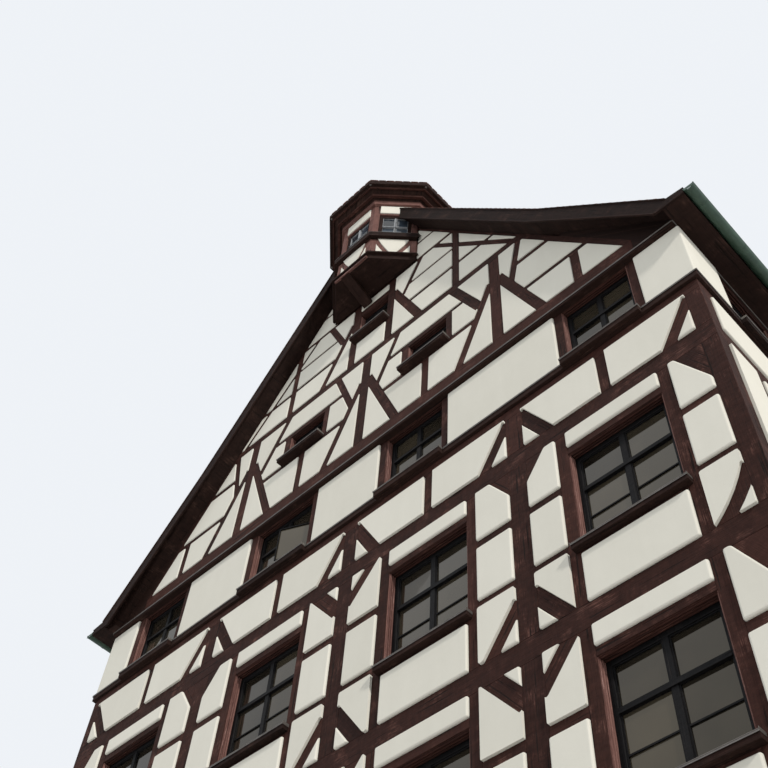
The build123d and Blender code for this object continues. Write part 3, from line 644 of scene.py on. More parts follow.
addPiece(bm, "turret_plaster", "plaster", ["turret_infill"], 50)
print("walls and turret done")


# Nodes whose own shape stays, with every sharp edge eased where the table gives an ease
def wholeNode(name, finish, slot, ease):
    bm = merged(name)
    if ease:
        softened(bm, [edge for edge in bm.edges if edge.calc_face_angle(0) > 0.7], ease, 2)
    addGrain(bm)
    addPiece(bm, f"{name}_piece", finish, [name])


wholeNodes = {  # finish, slot and how far the edges are eased
    "window_sills": ("board", "sill_board", 0.006),
    "storey_ledges": ("board", "sill_board", 0.008),
    "verge_boards": ("board", "eaves_board", 0.005),
    "left_eaves": ("board", "eaves_board", 0.005),
    "right_eaves": ("board", "eaves_board", 0.005),
    "turret_strut": ("board", "timber", 0.006),
    "turret_ledges": ("board", "sill_board", 0.006),
    "turret_floor": ("board", "eaves_board", 0.008),
    "turret_windows": ("board", "sash", 0.006),
}
for side in sideNormals:
    wholeNodes[f"{side}_windows"] = ("sash", "sash", 0.006)
for name in ("left_roof", "right_roof", "turret_roof"):
    wholeNodes[name] = ("board", "roof_tile", 0)
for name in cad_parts:
    if "floor" in name and "turret" not in name:
        wholeNodes[name] = ("floor", "floor", 0)
for name, settings in wholeNodes.items():
    wholeNode(name, *settings)
print("whole nodes", len(wholeNodes))


# Windows: bars, casements and panes for every light, measured from the CAD panes
windowStyle = {
    "ring": 0.070,      # the CAD frame round the panes
    "mullion": 0.066,
    "transom": 0.052,
    "share": 0.64,      # height of the transom
    "low": 0.75,        # a window lower than this has no transom
    "barred": (1.15, 2),  # heights between which a bar crosses the lower lights
    "drip": 0.012,
    "leaf": 0.014,
    "bar": 0.018,
    "front": 0.020,     # how far the bars stand before the panes
    "proud": (0.008, 0.012, 0.022),  # mullion, transom and drip before that
    "barFront": 0.014,
    "back": 0.004,      # a casement's face behind the bars', and the middle of its pane
    "pane": 0.006,
    "inset": 0.010,
    "lean": 0.35,       # degrees, so that each pane mirrors a little differently
}
turretWindowStyle = dict(windowStyle, mullion=0.034, leaf=0.010, transom=0.026, share=0.52)
openLeaf = {"x": -1.465, "z": 13.2, "angle": 24, "near": 0.4, "hinge": 0.03}
revealStyle = {
    "board": 0.008,
    "radius": 0.013,
    "places": (0.024, 0.055, 0.086),
    "depth": 0.132,
    "front": 0.002,
    "back": 0.032,
    "above": 5,         # the stone storey has none
}


def leafFrame(bm, left, right, foot, top, matrix, style):
    edge = style["leaf"]
    near = style["back"] - style["front"]
    block(bm, (left, near, foot), (left + edge, 0, top), matrix)
    block(bm, (right - edge, near, foot), (right, 0, top), matrix)
    block(bm, (left + edge, near, foot), (right - edge, 0, foot + edge), matrix)
    block(bm, (left + edge, near, top - edge), (right - edge, 0, top), matrix)


def leanedPane(bm, left, right, foot, top, matrix, style):
    middle = Vector(((left + right) / 2, style["back"], (foot + top) / 2))
    lean = math.radians(style["lean"])
    turn = Matrix.Rotation(chance.uniform(-lean, lean), 4, "X")
    turn = turn @ Matrix.Rotation(chance.uniform(-lean, lean), 4, "Z")
    inset = style["inset"]
    half = Vector(((right - left) / 2 - inset, style["pane"] / 2, (top - foot) / 2 - inset))
    block(bm, -half, half, matrix @ Matrix.Translation(middle) @ turn)


def windowLights(width, height, style):
    # the lights of a window as left, right, foot and top, and whether a bar crosses them
    post = style["mullion"] / 2
    beam = style["transom"] / 2
    split = (style["share"] - 0.5) * height
    lights = []
    for left, right in ((-width / 2, -post), (post, width / 2)):
        if height < style["low"]:
            lights.append((left, right, -height / 2, height / 2, False))
        else:
            barred = style["barred"][0] < height < style["barred"][1]
            lights.append((left, right, -height / 2, split - beam, barred))
            lights.append((left, right, split + beam, height / 2, False))
    return lights


def addWindow(bars, panes, matrix, width, height, style, openHere):
    postOut, beamOut, dripOut = [-style["front"] - proud for proud in style["proud"]]
    post = style["mullion"] / 2
    block(bars, (-post, postOut, -height / 2), (post, 0, height / 2), matrix)
    split = (style["share"] - 0.5) * height
    beam = style["transom"] / 2
    if height > style["low"]:
        under = split - beam
        block(bars, (-width / 2, beamOut, under), (width / 2, 0, split + beam), matrix)
        block(bars, (-width / 2, dripOut, under - style["drip"]), (width / 2, 0, under), matrix)
    for left, right, foot, top, barred in windowLights(width, height, style):
        leafMatrix = matrix
        if openHere and left > 0 and foot < split:
            hinge = Matrix.Translation((width / 2, -openLeaf["hinge"], 0))
            swing = hinge @ Matrix.Rotation(math.radians(openLeaf["angle"]), 4, "Z")
            leafMatrix = matrix @ swing @ Matrix.Translation((-width / 2, 0, 0))
            leanedPane(panes, left, right, foot, top, matrix, style)
        leafFrame(bars, left, right, foot, top, leafMatrix, style)
        if barred:
            middle = (foot + top) / 2
            half = style["bar"] / 2
            barOut = -style["barFront"]
            block(bars, (left, barOut, middle - half), (right, 0, middle + half), leafMatrix)
        leanedPane(panes, left, right, foot, top, leafMatrix, style)


def addReveal(bm, over, matrix, halfWidth, halfHeight, style):
    # a thin moulded lining on both sides and, as a mesh of its own, over the window
    # the side linings get a lighter paint than the head, as painted sunlight; the head gets the darker
    # timber paint, as painted shade
    near = style["front"] - style["depth"]
    far = -style["back"]
    x = halfWidth - style["board"]
    top = halfHeight - style["board"]
    block(bm, (-halfWidth, near, -halfHeight), (-x, far, halfHeight), matrix)
    block(bm, (x, near, -halfHeight), (halfWidth, far, halfHeight), matrix)
    block(over, (-x, near, top), (x, far, halfHeight), matrix)
    for place in style["places"]:
        y = place - style["depth"]
        for side in (-x, x):
            rod(bm, (side, y, -halfHeight), (side, y, top), style["radius"], 10, None, matrix)
        rod(over, (-x, y, top), (x, y, top), style["radius"], 10, None, matrix)


bars, turretBars, panes, turretPanes, reveals, lintels = [bmesh.new() for made in range(6)]
windowCount = 0
for node, faces, low, high in solidsOf("window_panes", "turret_panes"):
    middle = (low + high) / 2
    ofTurret = node == "turret_panes"
    outward = turretOutward(middle) if ofTurret else wallOutward(middle, high - low)
    along = upward.cross(outward)
    reach = [vert.co.dot(along) for face in faces for vert in face.verts]
    width = max(reach) - min(reach)
    height = high.z - low.z
    matrix = wallMatrix(outward, middle)
    if ofTurret:
        addWindow(turretBars, turretPanes, matrix, width, height, turretWindowStyle, False)
    else:
        near = abs(middle.x - openLeaf["x"]) + abs(middle.z - openLeaf["z"]) < openLeaf["near"]
        addWindow(bars, panes, matrix, width, height, windowStyle, near and outward.y < 0)
        if middle.z > revealStyle["above"]:
            ring = windowStyle["ring"]
            addReveal(reveals, lintels, matrix, width / 2 + ring, height / 2 + ring, revealStyle)
    windowCount += 1
for bm in (bars, turretBars, panes, turretPanes, reveals, lintels):
    addGrain(bm)
addPiece(bars, "window_bars", "sash")
addPiece(turretBars, "turret_window_bars", "paleSash")
addPiece(panes, "window_glass", "glass", ["window_panes"])
# the turret panes carry a painted reflection of the sky in their bluish colour
addPiece(turretPanes, "turret_glass", "paintedSkyGlass", ["turret_panes"])
# side linings in the lighter reveal paint as painted sunlight, linings over the windows in the darker timber
# paint as painted shade
addPiece(reveals, "window_reveals", "reveal", (), 40)
addPiece(lintels, "window_linings", "timber", (), 40)
print("windows", windowCount)


# Sheet metal over every sill board and ledge
sheetStyle = {
    "thick": 0.003,
    "lip": 0.010,
    "drip": 0.018,
    "horn": 0.022,
    "cover": 0.05,
    "under": 0.001,     # below the sheet of the front, where both meet
    "corner": (13, 0.035, -0.01),  # height that parts the ledges, and how far short each one's sheet ends
}


def addSheet(bm, matrix, half, depth, top, style, horned):
    # half the width, then how far the board reaches out from the matrix's plane, and its top
    out = -depth - style["lip"]
    thick = style["thick"]
    block(bm, (-half, out, top), (half, 0, top + thick), matrix)
    block(bm, (-half, out, top - style["drip"]), (half, out + thick, top), matrix)
    rod(bm, (-half, out, top), (half, out, top), thick * 1.5, 8, None, matrix)
    if horned:
        foot = top - style["drip"]
        block(bm, (-half - thick, out, foot), (-half, 0, top + style["horn"]), matrix)
        block(bm, (half, out, foot), (half + thick, 0, top + style["horn"]), matrix)


sheets = bmesh.new()
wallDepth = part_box("storey_ledges")[1].y
for node, faces, low, high in solidsOf("window_sills", "storey_ledges"):
    size = high - low
    middle = (low + high) / 2
    outward = wallOutward(middle, size)
    half = abs(size.dot(upward.cross(outward))) / 2
    depth = abs(size.dot(outward))
    top = high.z
    place = middle - outward * depth / 2
    if node == "storey_ledges":
        place = place + outward * (depth - sheetStyle["cover"])
        depth = sheetStyle["cover"]
        if outward.x:  # on into the corner, just under the sheet of the front
            parting, lower, upper = sheetStyle["corner"]
            half = wallDepth - (lower if top < parting else upper)
            top = top - sheetStyle["under"]
    place.z = 0
    addSheet(sheets, wallMatrix(outward, place), half, depth, top, sheetStyle, node == "window_sills")
addGrain(sheets)
addPiece(sheets, "sill_flashings", "flashing")
print("flashings done")


# Turret: sheet on its sill, mouldings under its eaves, knobs, hips and tiles
turretStyle = {
    "mouldings": (
        ("board", 1.357, 0.045, 21.285, 21.335),
        ("timber", 1.290, 0.030, 21.225, 21.290),
        ("timber", 1.180, 0.055, 21.120, 21.200),
    ),
    "sheet": (0.006, 0.020, 0.004),  # past the ledge, into the wall, and its thickness
    "strip": (0.40, 0.020, 0.05, 0.012, 0.072),  # half its width, out, in, foot and top over the floor
    "knob": 0.030,
    "knobIn": 0.045,    # from the edge of the eaves
    "knobHeight": 21.305,
    "hip": 0.036,
    "hipFoot": 0.038,   # where it starts, as a share of the way up
    "hipTop": (0.02, 0.06),  # its end, out from and under the tip
    "tip": 0.055,
}
sillLow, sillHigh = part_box("turret_ledges")
sillOut = turretCentre.y - sillLow.y
wallOut = turretCentre.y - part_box("turret_infill")[0].y


def addRing(bm, outer, width, foot, top):
    # an eight sided ring round the turret, measured to its flats
    place = Matrix.Translation((turretCentre.x, turretCentre.y, foot))
    made = bmesh.ops.create_circle(
        bm,
        cap_ends=True,
        segments=8,
        radius=outer / math.cos(math.pi / 8),
        matrix=place @ Matrix.Rotation(math.pi / 8, 4, "Z"),
    )
    face = made["verts"][0].link_faces[0]
    band = bmesh.ops.inset_individual(bm, faces=[face], thickness=width, use_even_offset=True)["faces"]
    bmesh.ops.delete(bm, geom=[face], context="FACES_ONLY")
    raised = bmesh.ops.extrude_face_region(bm, geom=band)["geom"]
    verts = [item for item in raised if isinstance(item, bmesh.types.BMVert)]
    bmesh.ops.translate(bm, verts=verts, vec=(0, 0, top - foot))
    bmesh.ops.recalc_face_normals(bm, faces=bm.faces)


past, sunk, thick = turretStyle["sheet"]
bm = bmesh.new()
addRing(bm, sillOut + past, sillOut - wallOut + sunk, sillHigh.z, sillHigh.z + thick)
bmesh.ops.bisect_plane(
    bm,
    geom=bm.verts[:] + bm.edges[:] + bm.faces[:],
    plane_co=(0, -wallEnd, 0),
    plane_no=(0, 1, 0),
    clear_outer=True,
)
bmesh.ops.holes_fill(bm, edges=bm.edges, sides=0)
addGrain(bm)
addPiece(bm, "turret_sill_flashing", "flashing")
half, thick, sunk, foot, top = turretStyle["strip"]
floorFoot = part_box("turret_floor")[0].z
near = turretCentre.y - wallOut
bm = bmesh.new()
block(bm, (-half, near - thick, floorFoot + foot), (half, near + sunk, floorFoot + top))
addGrain(bm)
addPiece(bm, "turret_floor_strip", "turretTimber")
for index, (finish, outer, width, foot, top) in enumerate(turretStyle["mouldings"]):
    bm = bmesh.new()
    addRing(bm, outer, width, foot, top)
    addGrain(bm)
    addPiece(bm, f"turret_eaves_moulding_{index + 1}", finish)


# Roof tiles: one tile, rows of them in a few random mixes, and rows up each slope
tileStyle = {
    "width": 0.1908,
    "gap": 0.004,
    "length": 0.25,
    "thick": 0.014,
    "gauge": 0.16,
    "lift": 0.018,
    "corner": 0.045,
    "mixes": 3,
    "clear": 0.03,
    "slip": 0.004,      # up or down, at random
    "turn": 0.6,        # degrees
    "tight": 0.995,     # of its width, so that turned ones don't touch
    "last": 0.4,        # share of a tile below which the last row is left off
}


def tileMesh(style):
    # x across, y up the slope, lower edge on the x axis and lifted off the row below
    bm = bmesh.new()
    half = (style["width"] - style["gap"]) / 2
    block(bm, (-half, 0, 0), (half, style["length"], style["thick"]))
    lower = []
    for edge in bm.edges:
        ends = [vert.co for vert in edge.verts]
        if abs(ends[0].z - ends[1].z) > 0.001 and ends[0].y < 0.001:
            lower.append(edge)
    softened(bm, lower, style["corner"], 2)
    tilt = -math.asin(style["lift"] / style["length"])
    bmesh.ops.transform(
        bm,
        matrix=Matrix.Translation((0, 0, style["lift"])) @ Matrix.Rotation(tilt, 4, "X"),
        verts=bm.verts,
    )
    bm.verts.layers.float.new("tone")
    return intoMesh(bm, "tile")


def placeTile(bm, tone, mesh, matrix):
    copy = mesh.copy()
    copy.transform(matrix)
    bm.from_mesh(copy)
    count = len(copy.vertices)
    bpy.data.meshes.remove(copy)
    bm.verts.ensure_lookup_table()
    shade = chance.random()
    for vert in bm.verts[-count:]:
        vert[tone] = shade


def tileRow(tile, length, shifted, style):
    # one row from -length/2 to length/2; a shifted one starts and ends with half a tile
    bm = bmesh.new()
    tone = bm.verts.layers.float.new("tone")
    count = round(length / style["width"])
    pitch = length / count
    places = [(-length / 2 + pitch * (index + 0.5), 1.0) for index in range(count)]
    if shifted:
        places = [(x + pitch / 2, 1.0) for x, share in places[:-1]]
        places.append((-length / 2 + pitch / 4, 0.5))
        places.append((length / 2 - pitch / 4, 0.5))
    for x, share in places:
        slip = chance.uniform(-style["slip"], style["slip"])
        lean = chance.uniform(-style["turn"], style["turn"]) * (share == 1.0)
        turn = Matrix.Rotation(math.radians(lean), 4, "Z")
        shape = Matrix.Diagonal((share * style["tight"], 1, 1, 1))
        placeTile(bm, tone, tile, Matrix.Translation((x, slip, 0)) @ turn @ shape)
    return intoMesh(bm, "row")


def inTurret(point):
    # whether a point lies inside the turret or under its roof
    reach = max((point - turretCentre).dot(spoke(45 * step)) for step in range(8))
    if point.z < sideTop:
        return reach < wallOut
    share = (roofHigh.z - point.z) / (roofHigh.z - turretTiles["edge"])
    return reach < turretEave * share + tileStyle["clear"]


turretTiles = {
    "edge": 21.391,     # height of the roof's lower edge
    "first": 0.055,     # up the slope
    "last": 0.20,       # short of the tip
    "gauge": 0.145,
    "width": 0.16,
    "scale": 0.9,
}
roofStyle = {
    "length": 14.5,
    "slope": ((5.64, 14.0), (3.8, 16.398), (0.0, 22.032)),  # eave, kink and ridge
    "turret": (-5, 18.7),  # tiles before and over this may be in the turret's way
}
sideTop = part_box("turret_frame")[1].z
tile = tileMesh(tileStyle)
rows = []
for mix in range(tileStyle["mixes"]):
    rows.append([tileRow(tile, roofStyle["length"], shifted, tileStyle) for shifted in (False, True)])


def slopeCourses(path, style):
    # places, angles and share of a tile's length that is left, from the eave to the ridge
    courses = []
    total = sum(math.dist(path[index], path[index + 1]) for index in range(len(path) - 1))
    along = 0.0
    while total - along > style["length"] * style["last"]:
        rest = along
        for start, end in zip(path, path[1:]):
            run = math.dist(start, end)
            if rest < run:
                break
            rest = rest - run
        lean = math.atan2(end[1] - start[1], start[0] - end[0])
        x = start[0] - rest * math.cos(lean)
        z = start[1] + rest * math.sin(lean)
        courses.append((x, z, lean, min(1.0, (total - along) / style["length"])))
        along = along + style["gauge"]
    return courses


for side, sign in (("right", 1), ("left", -1)):
    bm = bmesh.new()
    for index, (x, z, lean, share) in enumerate(slopeCourses(roofStyle["slope"], tileStyle)):
        across = Vector((0, sign, 0))
        up = Vector((-sign * math.cos(lean), 0, math.sin(lean)))
        out = Vector((sign * math.sin(lean), 0, math.cos(lean)))
        turn = Matrix((across, up, out)).transposed().to_4x4()
        row = rows[chance.randrange(tileStyle["mixes"])][index % 2].copy()
        row.transform(Matrix.Translation((sign * x, 0, z)) @ turn @ Matrix.Diagonal((1, share, 1, 1)))
        bm.from_mesh(row)
        bpy.data.meshes.remove(row)
    hidden = []
    for faces in islands(bm):
        low, high = corners(faces)
        middle = (low + high) / 2
        before, over = roofStyle["turret"]
        if middle.y < before and middle.z > over and inTurret(middle):
            hidden.extend(faces)
    bmesh.ops.delete(bm, geom=hidden, context="FACES")
    addPiece(bm, f"{side}_roof_tiles", "tile")
print("roof tiles done")

bm = bmesh.new()
tone = bm.verts.layers.float.new("tone")
rise = roofHigh.z - turretTiles["edge"]
slant = math.hypot(turretEave, rise)
lean = math.atan2(rise, turretEave)
centre = turretCentre.xy.to_3d()
for face in range(8):
    outward = spoke(45 * face)
    across = upward.cross(outward)
    up = upward * math.sin(lean) - outward * math.cos(lean)
    turn = Matrix((across, up, across.cross(up))).transposed().to_4x4()
    along = turretTiles["first"]
    index = 0
    while along < slant - turretTiles["last"]:
        out = turretEave - along * math.cos(lean)
        width = 2 * out * math.tan(math.pi / 8)
        count = max(1, round(width / turretTiles["width"])) + index % 2
        pitch = width / count
        place = centre + outward * out + upward * (turretTiles["edge"] + along * math.sin(lean))
        shape = Matrix.Diagonal((pitch / tileStyle["width"], turretTiles["scale"], turretTiles["scale"], 1))
        for step in range(count):
            shift = across * (pitch * (step + 0.5) - width / 2)
            placeTile(bm, tone, tile, Matrix.Translation(place + shift) @ turn @ shape)
        along = along + turretTiles["gauge"]
        index += 1
for face in range(8):
    outward = spoke(45 * face + 22.5)
    reach = turretEave / math.cos(math.pi / 8)
    share = turretStyle["hipFoot"]
    out, under = turretStyle["hipTop"]
    start = centre + outward * reach * (1 - share) + upward * (turretTiles["edge"] + rise * share)
    end = centre + outward * out + upward * (roofHigh.z - under)
    rod(bm, start, end, turretStyle["hip"], 10, turretStyle["hip"] * 0.7)
addPiece(bm, "turret_roof_tiles", "tile")

bm = bmesh.new()
reach = (turretEave - turretStyle["knobIn"]) / math.cos(math.pi / 8)
for face in range(8):
    place = centre + spoke(45 * face + 22.5) * reach + upward * turretStyle["knobHeight"]
    knob(bm, place, turretStyle["knob"])
knob(bm, centre + upward * (roofHigh.z - turretStyle["tip"]), turretStyle["tip"])
addPiece(bm, "turret_knobs", "flashing", (), 60)
print("turret roof done")

ridgeStyle = {"radius": 0.130, "taper": 0.016, "length": 0.36, "overlap": 0.03}
ridgeLow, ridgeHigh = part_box("ridge_tiles")
bm = bmesh.new()
count = round((ridgeHigh.y - ridgeLow.y) / ridgeStyle["length"])
pitch = (ridgeHigh.y - ridgeLow.y) / count
axis = ridgeHigh.z - ridgeStyle["radius"]
for index in range(count):
    start = ridgeHigh.y - index * pitch
    end = max(start - pitch - ridgeStyle["overlap"], ridgeLow.y)
    radius = ridgeStyle["radius"]
    rod(bm, (0, start, axis), (0, end, axis), radius - ridgeStyle["taper"], 20, radius)
addGrain(bm)
addPiece(bm, "ridge_caps", "tile", ["ridge_tiles"], 50)
print("ridge done")


# Gutters: a half pipe with rolled rims, straps and closed ends, and the sheet that leads into it
gutterStyle = {
    "axis": 0.08,       # from its outermost line
    "radius": 0.076,
    "thick": 0.003,
    "rim": 0.009,
    "strap": 0.0797,
    "strapWidth": 0.03,
    "strapThick": 0.004,
    "first": 0.3,
    "step": 0.82,
    "capIn": 0.001,
    "capThick": 0.004,
    "caps": ((0.072, -0.03, -0.002), (0.06536, -0.055, -0.03)),  # half width, foot and top of each cap
}
eaveSheet = {"x": 5.76, "z": 13.988, "lean": 0.125, "half": 0.14, "thick": 0.004}


def halfPipe(bm, x, z, radius, start, end, thick):
    turn = Matrix.Rotation(math.pi / 2, 4, "X")
    made = bmesh.ops.create_circle(
        bm, cap_ends=False, segments=32, radius=radius, matrix=Matrix.Translation((x, start, z)) @ turn
    )
    upper = [vert for vert in made["verts"] if vert.co.z > z + 0.001]
    lower = [vert for vert in made["verts"] if vert.co.z <= z + 0.001]
    bmesh.ops.delete(bm, geom=upper, context="VERTS")
    edges = list({edge for vert in lower for edge in vert.link_edges})
    grown = bmesh.ops.extrude_edge_only(bm, edges=edges)["geom"]
    verts = [item for item in grown if isinstance(item, bmesh.types.BMVert)]
    faces = [item for item in grown if isinstance(item, bmesh.types.BMFace)]
    bmesh.ops.translate(bm, verts=verts, vec=(0, end - start, 0))
    middle = Vector((x, (start + end) / 2, z))
    for face in faces:
        face.normal_update()
        if face.normal.dot(face.calc_center_median() - middle) < 0:
            face.normal_flip()
    bmesh.ops.solidify(bm, geom=faces, thickness=thick)


gutterLow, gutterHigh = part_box("gutters")
bm = bmesh.new()
for sign in (1, -1):
    x = sign * (gutterHigh.x - gutterStyle["axis"])
    z = gutterHigh.z
    halfPipe(bm, x, z, gutterStyle["radius"], gutterLow.y, gutterHigh.y, gutterStyle["thick"])
    for side in (-1, 1):
        edge = x + side * (gutterStyle["axis"] - gutterStyle["rim"])
        rod(bm, (edge, gutterLow.y, z), (edge, gutterHigh.y, z), gutterStyle["rim"], 10)
    place = gutterLow.y + gutterStyle["first"]
    while place < gutterHigh.y:
        end = place + gutterStyle["strapWidth"]
        halfPipe(bm, x, z, gutterStyle["strap"], place, end, gutterStyle["strapThick"])
        place += gutterStyle["step"]
    thick = gutterStyle["capThick"]
    for start in (gutterLow.y + gutterStyle["capIn"], gutterHigh.y - gutterStyle["capIn"] - thick):
        for half, foot, top in gutterStyle["caps"]:
            block(bm, (x - half, start, z + foot), (x + half, start + thick, z + top))
addPiece(bm, "gutter_pipes", "copper", ["gutters"], 50)

bm = bmesh.new()
for sign in (1, -1):
    half = eaveSheet["half"]
    turn = Matrix.Rotation(sign * eaveSheet["lean"], 4, "Y")
    place = Matrix.Translation((sign * eaveSheet["x"], 0, eaveSheet["z"])) @ turn
    block(bm, (-half, gutterLow.y, 0), (half, gutterHigh.y, eaveSheet["thick"]), place)
addGrain(bm)
addPiece(bm, "eave_flashings", "flashing")
print("gutters done")


# Verges of the gable: a bead along both long edges of the front boards
beadRadius = 0.016
beads = bmesh.new()
for node, faces, low, high in solidsOf("verge_boards"):
    face = outerFace(faces, sideNormals["front"])
    if high.y > 0 or face is None:
        continue
    for edge in face.edges:
        if edge.calc_length() > 0.5:
            rod(beads, edge.verts[0].co, edge.verts[1].co, beadRadius, 10)
addGrain(beads)
addPiece(beads, "verge_beads", "board", (), 50)
print("verges done")


# Ground storey: ashlar courses with staggered joints, and the arch cut like the rays of a sun
ashlarStyle = {
    "levels": (0, 1.3, 3.7, 5.61),  # ground, sills, heads and the first beam
    "course": (0.325, 0.343, 0.318),  # between those
    "block": 0.86,
    "end": 7.2,         # past the corners of the longer walls
    "ray": 20,          # degrees between the joints of the arch
    "archCorners": 30,  # the solid with more corners than this is the arch
    "least": 0.06,      # a smaller stone stays flat
    "joint": 0.011,
    "raise": 0.010,
}


def cutFaces(bm, faces, point, normal):
    geom = list(faces) + list({edge for face in faces for edge in face.edges})
    geom += list({vert for face in faces for vert in face.verts})
    bmesh.ops.bisect_plane(bm, geom=geom, dist=0.0001, plane_co=point, plane_no=normal)


def courseLines(style):
    lines = []
    for low, high, height in zip(style["levels"], style["levels"][1:], style["course"]):
        count = round((high - low) / height)
        lines += [low + (high - low) * step / count for step in range(count)]
    return lines + [style["levels"][-1]]


def outside(bm, outward, plane):
    found = []
    for face in bm.faces:
        if face.normal.dot(outward) > 0.99 and face.calc_center_median().dot(outward) > plane - 0.001:
            found.append(face)
    return found


def addAshlar(side, style):
    outward = sideNormals[side]
    along = upward.cross(outward)
    bm = merged(f"{side}_ground_wall")
    tone = bm.verts.layers.float.new("tone")
    plane = max(vert.co.dot(outward) for vert in bm.verts)
    arch = None
    for faces in islands(bm):
        if len({vert for face in faces for vert in face.verts}) > style["archCorners"]:
            arch = corners(faces)

    def wallFaces(foot, top, ofArch):
        found = []
        for face in outside(bm, outward, plane):
            middle = face.calc_center_median()
            inside = arch and arch[0].x < middle.x < arch[1].x and arch[0].z < middle.z < arch[1].z
            if bool(inside) == ofArch and foot < middle.z < top:
                found.append(face)
        return found

    if arch:
        hub = Vector(((arch[0].x + arch[1].x) / 2, -plane, arch[0].z))
        for degrees in range(style["ray"] // 2, 180, style["ray"]):
            ray = along * math.cos(math.radians(degrees)) + upward * math.sin(math.radians(degrees))
            cutFaces(bm, wallFaces(0, 10, True), hub, ray.cross(outward))
    lines = courseLines(style)
    for line in lines[1:-1]:
        cutFaces(bm, wallFaces(0, 10, False), Vector((0, 0, line)), upward)
    for index, (foot, top) in enumerate(zip(lines, lines[1:])):
        place = -style["end"] + style["block"] / 2 * (index % 2)
        while place < style["end"]:
            cutFaces(bm, wallFaces(foot, top, False), along * place, along)
            place += style["block"]
    blocks = []
    for face in outside(bm, outward, plane):
        low, high = corners([face])
        size = high - low
        if min(size.z, abs(size.dot(along))) > style["least"]:
            blocks.append(face)
    bmesh.ops.inset_individual(
        bm, faces=blocks, thickness=style["joint"], depth=style["raise"], use_even_offset=True
    )
    for face in blocks:
        shade = chance.random()
        for vert in face.verts:
            vert[tone] = shade
    addPiece(bm, f"{side}_ashlar", "stone", [f"{side}_ground_wall"])


for side in sideNormals:
    addAshlar(side, ashlarStyle)
print("ashlar done")


# Entrance: planks, strap hinges and a knob
doorStyle = {
    "plank": 0.158,
    "joint": 0.005,
    "raise": 0.008,
    "straps": (0.45, 2.15),  # heights
    "strap": (0.12, 0.76, 0.045),  # from the middle, to the hinge, and its width
    "strapThick": 0.006,
    "boss": (0.022, 0.04),  # over the strap's lower edge, and radius
    "sunk": 0.002,      # how far the iron goes into the planks
    "knob": (0.07, 1.14, 0.032, 0.07),  # from the middle, height, radius and how far out
    "stem": (0.05, 0.012),  # length and radius
    "plate": (0.03, 0.004, -0.14, 0.08),  # half its width, thickness, foot and top from the knob
}
doorLow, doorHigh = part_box("entrance_door")
bm = merged("entrance_door")
front = sideNormals["front"]
place = doorLow.x + doorStyle["plank"]
while place < doorHigh.x - 0.01:
    cutFaces(bm, outside(bm, front, -doorLow.y), Vector((place, 0, 0)), Vector((1, 0, 0)))
    place += doorStyle["plank"]
planks = outside(bm, front, -doorLow.y)
bmesh.ops.inset_individual(
    bm, faces=planks, thickness=doorStyle["joint"], depth=doorStyle["raise"], use_even_offset=True
)
addGrain(bm)
addPiece(bm, "door_planks", "oak", ["entrance_door"])
bm = bmesh.new()
face = doorLow.y - doorStyle["raise"]
middle = (doorLow.x + doorHigh.x) / 2
inner = face + doorStyle["sunk"]
near, far, width = doorStyle["strap"]
rise, boss = doorStyle["boss"]
out = face - doorStyle["strapThick"]
for sign in (-1, 1):
    for height in doorStyle["straps"]:
        left, right = sorted((middle + sign * near, middle + sign * far))
        block(bm, (left, out, height), (right, inner, height + width))
        x = middle + sign * near
        rod(bm, (x, out, height + rise), (x, inner, height + rise), boss, 16)
side, height, radius, out = doorStyle["knob"]
half, thick, foot, top = doorStyle["plate"]
reach, stem = doorStyle["stem"]
x = middle + side
block(bm, (x - half, face - thick, height + foot), (x + half, inner, height + top))
rod(bm, (x, face, height), (x, face - reach, height), stem, 12)
knob(bm, (x, face - out, height), radius)
addPiece(bm, "door_ironwork", "iron", (), 45)
print("door done")


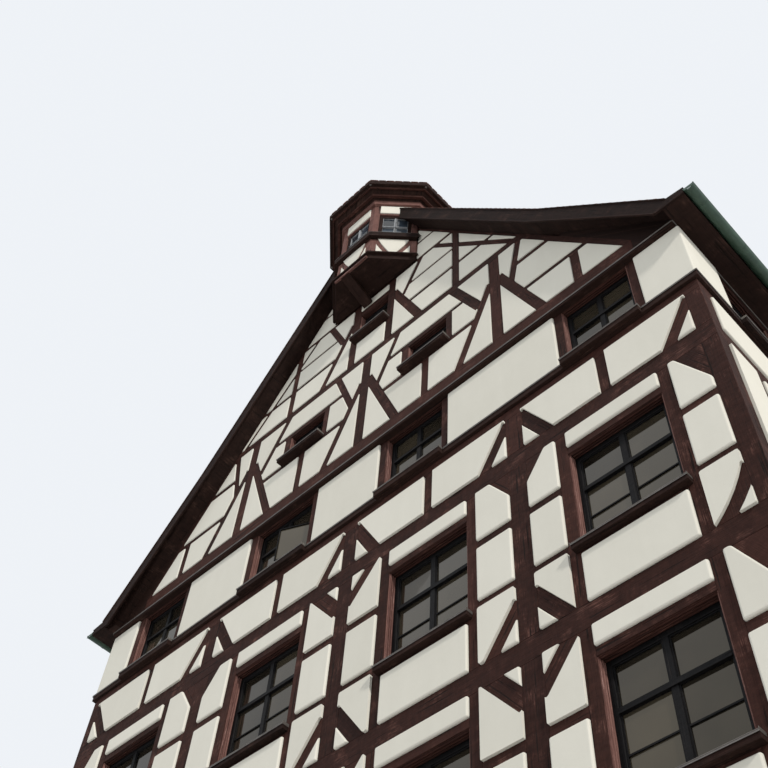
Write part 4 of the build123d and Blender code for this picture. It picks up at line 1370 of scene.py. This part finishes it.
# Stage: pale floor, soft light, the photo's camera
def addStage():
    bm = bmesh.new()
    bmesh.ops.create_grid(bm, x_segments=1, y_segments=1, size=400.0)
    mesh = intoMesh(bm, "floor")
    finish = Finish("paleFloor", Roughness=0.9, Base_Color=(0.8, 0.8, 0.79, 1.0))
    mesh.materials.append(finish.material)
    floor = bpy.data.objects.new("studioFloor", mesh)
    floor.location.z = -0.002
    scene.collection.objects.link(floor)


def addSun(name, direction, strength, spread, tint):
    lamp = bpy.data.lights.new(name, "SUN")
    lamp.energy = strength
    lamp.angle = math.radians(spread)
    lamp.color = tint
    light = bpy.data.objects.new(name, lamp)
    light.rotation_euler = Vector(direction).to_track_quat("Z", "Y").to_euler()
    scene.collection.objects.link(light)


def addWorld(backdrop, glow, strength):
    world = bpy.data.worlds.new("studio")
    scene.world = world
    world.use_nodes = True
    sky = Shader(world.node_tree)
    seen = sky.node("ShaderNodeLightPath", {}, {}, "Is Camera Ray")
    mirrored = sky.node("ShaderNodeLightPath", {}, {}, "Is Glossy Ray")
    through = sky.node("ShaderNodeLightPath", {}, {}, "Is Transmission Ray")
    dimmed = [channel * strength for channel in glow]
    light = sky.blend(seen.atLeast(mirrored).atLeast(through), dimmed, backdrop)
    plug(sky.tree, light, sky.tree.nodes["Background"].inputs["Color"])


def addCamera(place, right, up, back, lens):
    camera = bpy.data.cameras.new("camera")
    camera.lens = lens
    camera.sensor_width = 36.0
    camera.clip_end = 500.0
    viewer = bpy.data.objects.new("camera", camera)
    turn = Matrix((right, up, back)).transposed()
    viewer.matrix_world = Matrix.Translation(place) @ turn.to_4x4()
    scene.collection.objects.link(viewer)
    scene.camera = viewer


addStage()
addSun("keyLight", (1.0, -0.32, 0.66), strength=2.8, spread=4.0, tint=(1.0, 0.955, 0.90))
addSun("fillLight", (-0.3, -1.0, 0.5), strength=0.35, spread=60.0, tint=(0.92, 0.96, 1.0))
addWorld(backdrop=(0.86, 0.89, 0.93), glow=(0.93, 0.96, 1.0), strength=0.62)
addCamera(
    place=Vector((7.46, -13.14, 1.6)),
    right=(0.720136, 0.691673, 0.054711),
    up=(0.552468, -0.619329, 0.557864),
    back=(0.419743, -0.371512, -0.828127),
    lens=50.52,
)
scene.view_settings.view_transform = "Standard"
print("stage done")
